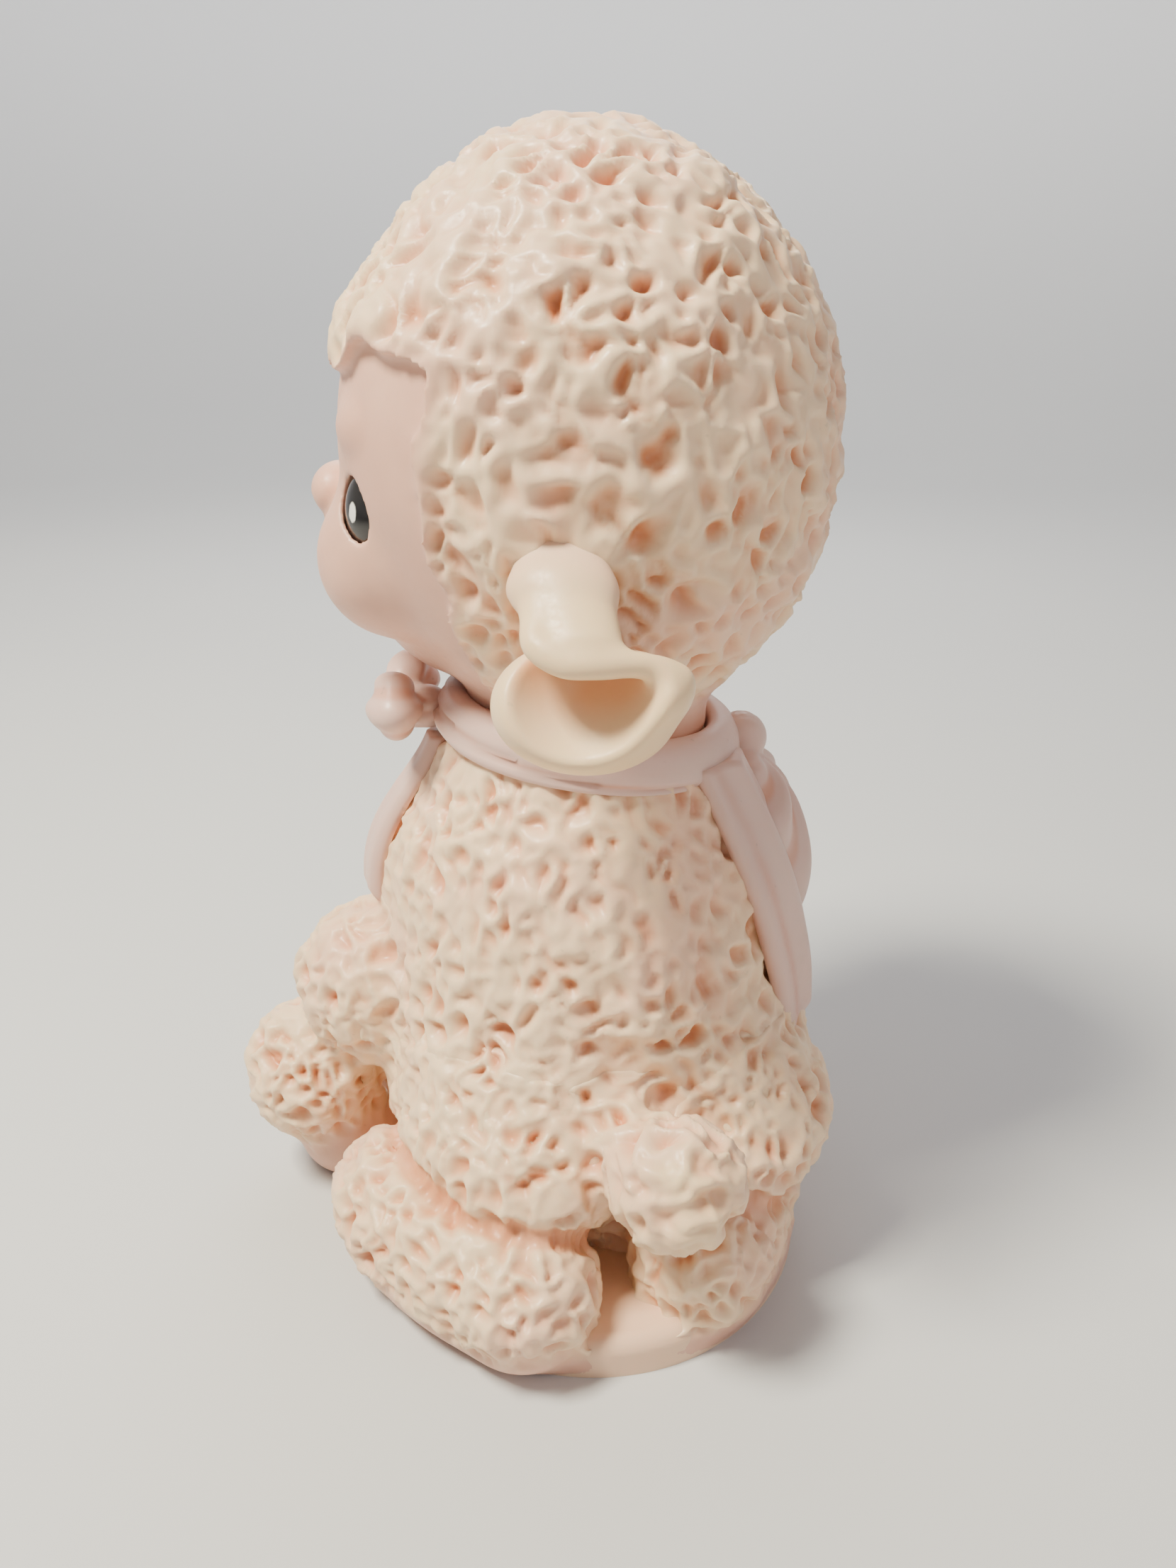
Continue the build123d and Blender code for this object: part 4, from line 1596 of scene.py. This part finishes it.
@dataclass
class Ribbon:
    """Moulded neck ribbon with a shoulder bow, a chin bow and their ends."""

    radius: float = 31.4
    inner: float = 24.9
    width: float = 9.5
    level: float = 110.3
    tilt: float = 7.5
    high_bearing: float = 74.0
    chin_spread: float = 34.0
    layer: float = 0.9
    slant: float = 1.6
    sides: int = 144
    steps: int = 26
    bows: tuple[Bow, ...] = (
        ShoulderBow("shoulder_bow", "side_bow", bearing=-104.0, spread=11.0, place=(0.0, -38.0, 86.0),
                    half=(11.0, 8.0, 19.0), lean=18.0, soft=2.0, low=(-58, -18, 60), high=(-14, 40, 116),
                    step=1.0, fold_height=0.9, sink=0.6, shade=0.8),
        ChinBow("chin_bow_loops", "chin_bow", bearing=CHIN_BEARING, spread=13.0, place=(0.0, -39.0, 114.5),
                half=(8.2, 5.6, 7.0), lean=0.0, soft=1.5, low=(18, -38, 103), high=(54, 20, 124),
                step=0.8, fold_height=0.6, sink=0.5, shade=0.6),
    )
    ends: tuple[RibbonEnd, ...] = (
        RibbonEnd("shoulder_ribbon_end", "side_bow_tail", (107.0, -138.0, 15.5), (44.0, -117.0, 15.0), 1.6),
        RibbonEnd("chin_ribbon_end", "chin_bow_tail", (107.0, CHIN_BEARING, 11.0),
                  (70.5, CHIN_BEARING, 10.0), 0.8),
    )

    def build_band(self, material: bpy.types.Material) -> None:
        """Makes the band with its folded second layer.

        Args:
            material: the ribbon's vinyl.
        """
        bearings = 360.0 * np.arange(self.sides) / self.sides
        bearing, turn = table(bearings, 2 * np.pi * np.arange(self.steps) / self.steps)
        across, outer = np.sin(turn), np.cos(turn)
        shown = outer > 0
        from_chin = (bearing - CHIN_BEARING + 180) % 360 - 180
        near_chin = np.exp(-(from_chin / self.chin_spread) ** 2)
        crease = -0.25 + 0.45 * np.sin(np.radians(bearing + 40))
        bulge = np.sign(outer) * np.abs(outer) ** 0.55
        reach = (self.radius + self.inner) / 2 + bulge * (self.radius - self.inner) / 2
        height = np.sign(across) * np.abs(across) ** 0.8 * self.width / 2 * (1 - 0.18 * near_chin)
        fold = np.where(shown, np.exp(-((across - crease) / 0.16) ** 2), 0.0)
        layer = self.layer * (shown & (across > crease))
        gather = np.where(shown, 0.5 * near_chin * np.sin(across * 9.0), 0.0)
        slant = np.where(shown, -self.slant * across, 0.0)
        reach = reach - self.layer * fold - self.layer + layer + gather + slant
        placed = spun(around(bearing, reach, height), -self.high_bearing)
        placed = spun(tilted(placed, -self.tilt), self.high_bearing)
        placed = placed + np.array([0, 0, self.level], np.float32)
        faces = np.array(tube_faces(self.sides, self.steps)) % len(placed)
        # Painted shade: the band is coloured darker along the crease of its fold.
        add_piece("neck_band", "ribbon_band", placed, faces, Rider.BODY, material,
                  smooth_traits(0.75 * fold))

    def build(self, body: Body, material: bpy.types.Material) -> None:
        """Makes the band, the bows and the ribbon ends.

        Args:
            body: the body that carries them.
            material: the ribbon's vinyl.
        """
        self.build_band(material)
        for bow in self.bows:
            bow.build(material)
        for end in self.ends:
            end.build(body, material)


# The base and the studio


def dress_base(smooth: bpy.types.Material, metal: bpy.types.Material) -> None:
    """Gives the base plate and the whistle, kept as the solids that they are, their finish.

    Args:
        smooth: the smooth vinyl.
        metal: the stamped metal.
    """
    for name, material in (("base_plate", smooth), ("whistle_cup", metal), ("whistle_cap", metal)):
        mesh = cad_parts[name].data
        mesh.materials.clear()
        mesh.materials.append(material)
        log.info("%s: dressed", name)


@dataclass(frozen=True)
class Lamp:
    """One soft light, in metres and watts, aimed at the toy or at another point."""

    name: str
    place: Triple
    size: float
    power: float
    colour: Triple = (1.0, 1.0, 1.0)
    aim: Triple = (0.0, 0.0, 0.12)

    def build(self) -> None:
        """Adds the light."""
        data = bpy.data.lights.new(self.name, "AREA")
        data.size = self.size
        data.energy = self.power
        data.color = self.colour
        lamp = bpy.data.objects.new(self.name, data)
        bpy.context.scene.collection.objects.link(lamp)
        lamp.location = self.place
        x, y, z = (there - here for there, here in zip(self.place, self.aim))
        lamp.rotation_euler = (math.atan2(math.hypot(x, y), z), 0, math.atan2(x, -y))


@dataclass
class Studio:
    """Pale floor that curves up all round, soft lights and the camera of the photograph, in metres."""

    floor_inner: float = 0.4
    floor_flat: float = 1.3
    floor_bend: float = 0.9
    floor_top: float = 4.5
    floor_sides: int = 72
    bend_rows: int = 16
    world_colour: Triple = (0.86, 0.87, 0.9)
    world_strength: float = 0.16
    lamps: tuple[Lamp, ...] = (
        Lamp("key", (0.42, 0.07, 0.8), 0.2, 16.0, (1.0, 0.95, 0.77)),
        Lamp("fill", (-0.45, 0.55, 0.4), 0.5, 1.2, (1.0, 0.88, 0.88)),
        Lamp("back", (-0.2, -0.7, 0.6), 0.6, 2.0),
        Lamp("backdrop", (-0.22, -0.77, 1.6), 1.2, 24.0, aim=(-0.6, -2.1, 0.7)),
    )
    camera_place: Triple = (0.0632, 0.2205, 0.188)
    camera_turn: float = 164.0
    camera_pitch: float = 22.0
    lens: float = 27.05
    film: float = 36.0

    def build(self) -> None:
        """Makes the floor, the lights and the camera."""
        self.build_floor()
        world = bpy.data.worlds.new("soft_room")
        world.use_nodes = True
        background = world.node_tree.nodes["Background"]
        background.inputs[0].default_value = (*self.world_colour, 1)
        background.inputs[1].default_value = self.world_strength
        bpy.context.scene.world = world
        for lamp in self.lamps:
            lamp.build()
        self.build_camera()

    def build_floor(self) -> None:
        """Makes the floor, which is the stage and no piece of the toy."""
        flat, bend, sides = self.floor_flat, self.floor_bend, self.floor_sides
        rows = [(self.floor_inner, 0.0), (flat, 0.0)]
        for a in np.linspace(0.1, math.pi / 2, self.bend_rows):
            rows.append((flat + bend * math.sin(a), bend - bend * math.cos(a)))
        rows.append((flat + bend, self.floor_top))
        reach, height = np.array(rows).T
        rings = [around(360.0 * np.arange(sides) / sides, r, h) for r, h in zip(reach, height)]
        points = np.concatenate([np.zeros((1, 3)), *rings])
        faces = [(0, 1 + i, 1 + (i + 1) % sides) for i in range(sides)] + tube_faces(len(rows) - 1, sides, 1)
        mesh = bpy.data.meshes.new("floor")
        mesh.from_pydata(points.tolist(), [], faces)
        mesh.polygons.foreach_set("use_smooth", [True] * len(mesh.polygons))
        floor = bpy.data.objects.new("floor", mesh)
        bpy.context.scene.collection.objects.link(floor)
        material, build = new_material("pale_floor")
        level = build.node("ShaderNodeSeparateXYZ", {0: build.place()}).outputs[2]
        colour = build.mix(build.noise(3.0, 4.0), (0.6, 0.6, 0.61, 1), (0.65, 0.65, 0.65, 1))
        # Painted light: the curved wall is coloured paler towards its top.
        colour = build.mix(build.span(level, 0.0, 0.7), colour, (0.9, 0.9, 0.91, 1))
        build.surface({"Base Color": colour, "Roughness": 0.7})
        mesh.materials.append(material)

    def build_camera(self) -> None:
        """Makes the camera."""
        camera = bpy.data.objects.new("camera", bpy.data.cameras.new("camera"))
        bpy.context.scene.collection.objects.link(camera)
        camera.location = self.camera_place
        camera.rotation_euler = (math.radians(90 - self.camera_pitch), 0, math.radians(self.camera_turn))
        camera.data.lens = self.lens
        camera.data.sensor_width = self.film
        camera.data.clip_start = 0.01
        bpy.context.scene.camera = camera


# The whole toy

# The darker hollow colours of these finishes are painted shade for pits, creases and folds.
WOOLLY_VINYL = Vinyl(
    "woolly_soft_vinyl", ridge=(0.9, 0.66, 0.43), hollow=(0.7, 0.28, 0.13), tint=(0.86, 0.52, 0.38),
    smooth=(0.7, 0.4, 0.3),
)
SMOOTH_VINYL = Vinyl(
    "smooth_soft_vinyl", ridge=(0.9, 0.68, 0.47), hollow=(0.76, 0.3, 0.11), tint=(0.86, 0.6, 0.4),
    smooth=(0.84, 0.57, 0.4),
)
RIBBON_VINYL = Vinyl(
    "ribbon_soft_vinyl", ridge=(0.8, 0.57, 0.47), hollow=(0.66, 0.32, 0.22), tint=(0.72, 0.52, 0.45),
    smooth=(0.72, 0.49, 0.42), grime=0.55,
)


def main() -> None:
    """Builds the toy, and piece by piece."""
    logging.basicConfig(level=logging.INFO, format="%(message)s")
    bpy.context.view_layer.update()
    effects = Effects()
    wool, smooth, ribbon = (finish.material(effects) for finish in (WOOLLY_VINYL, SMOOTH_VINYL, RIBBON_VINYL))
    body = Body()
    body.build(wool)
    head = Head()
    head.build(wool)
    head.build_eyes(EyePaint().material(effects))
    Ear().build(smooth)
    Ribbon().build(body, ribbon)
    dress_base(smooth, StampedMetal().material(effects))
    Studio().build()


if __name__ == "__main__":
    main()
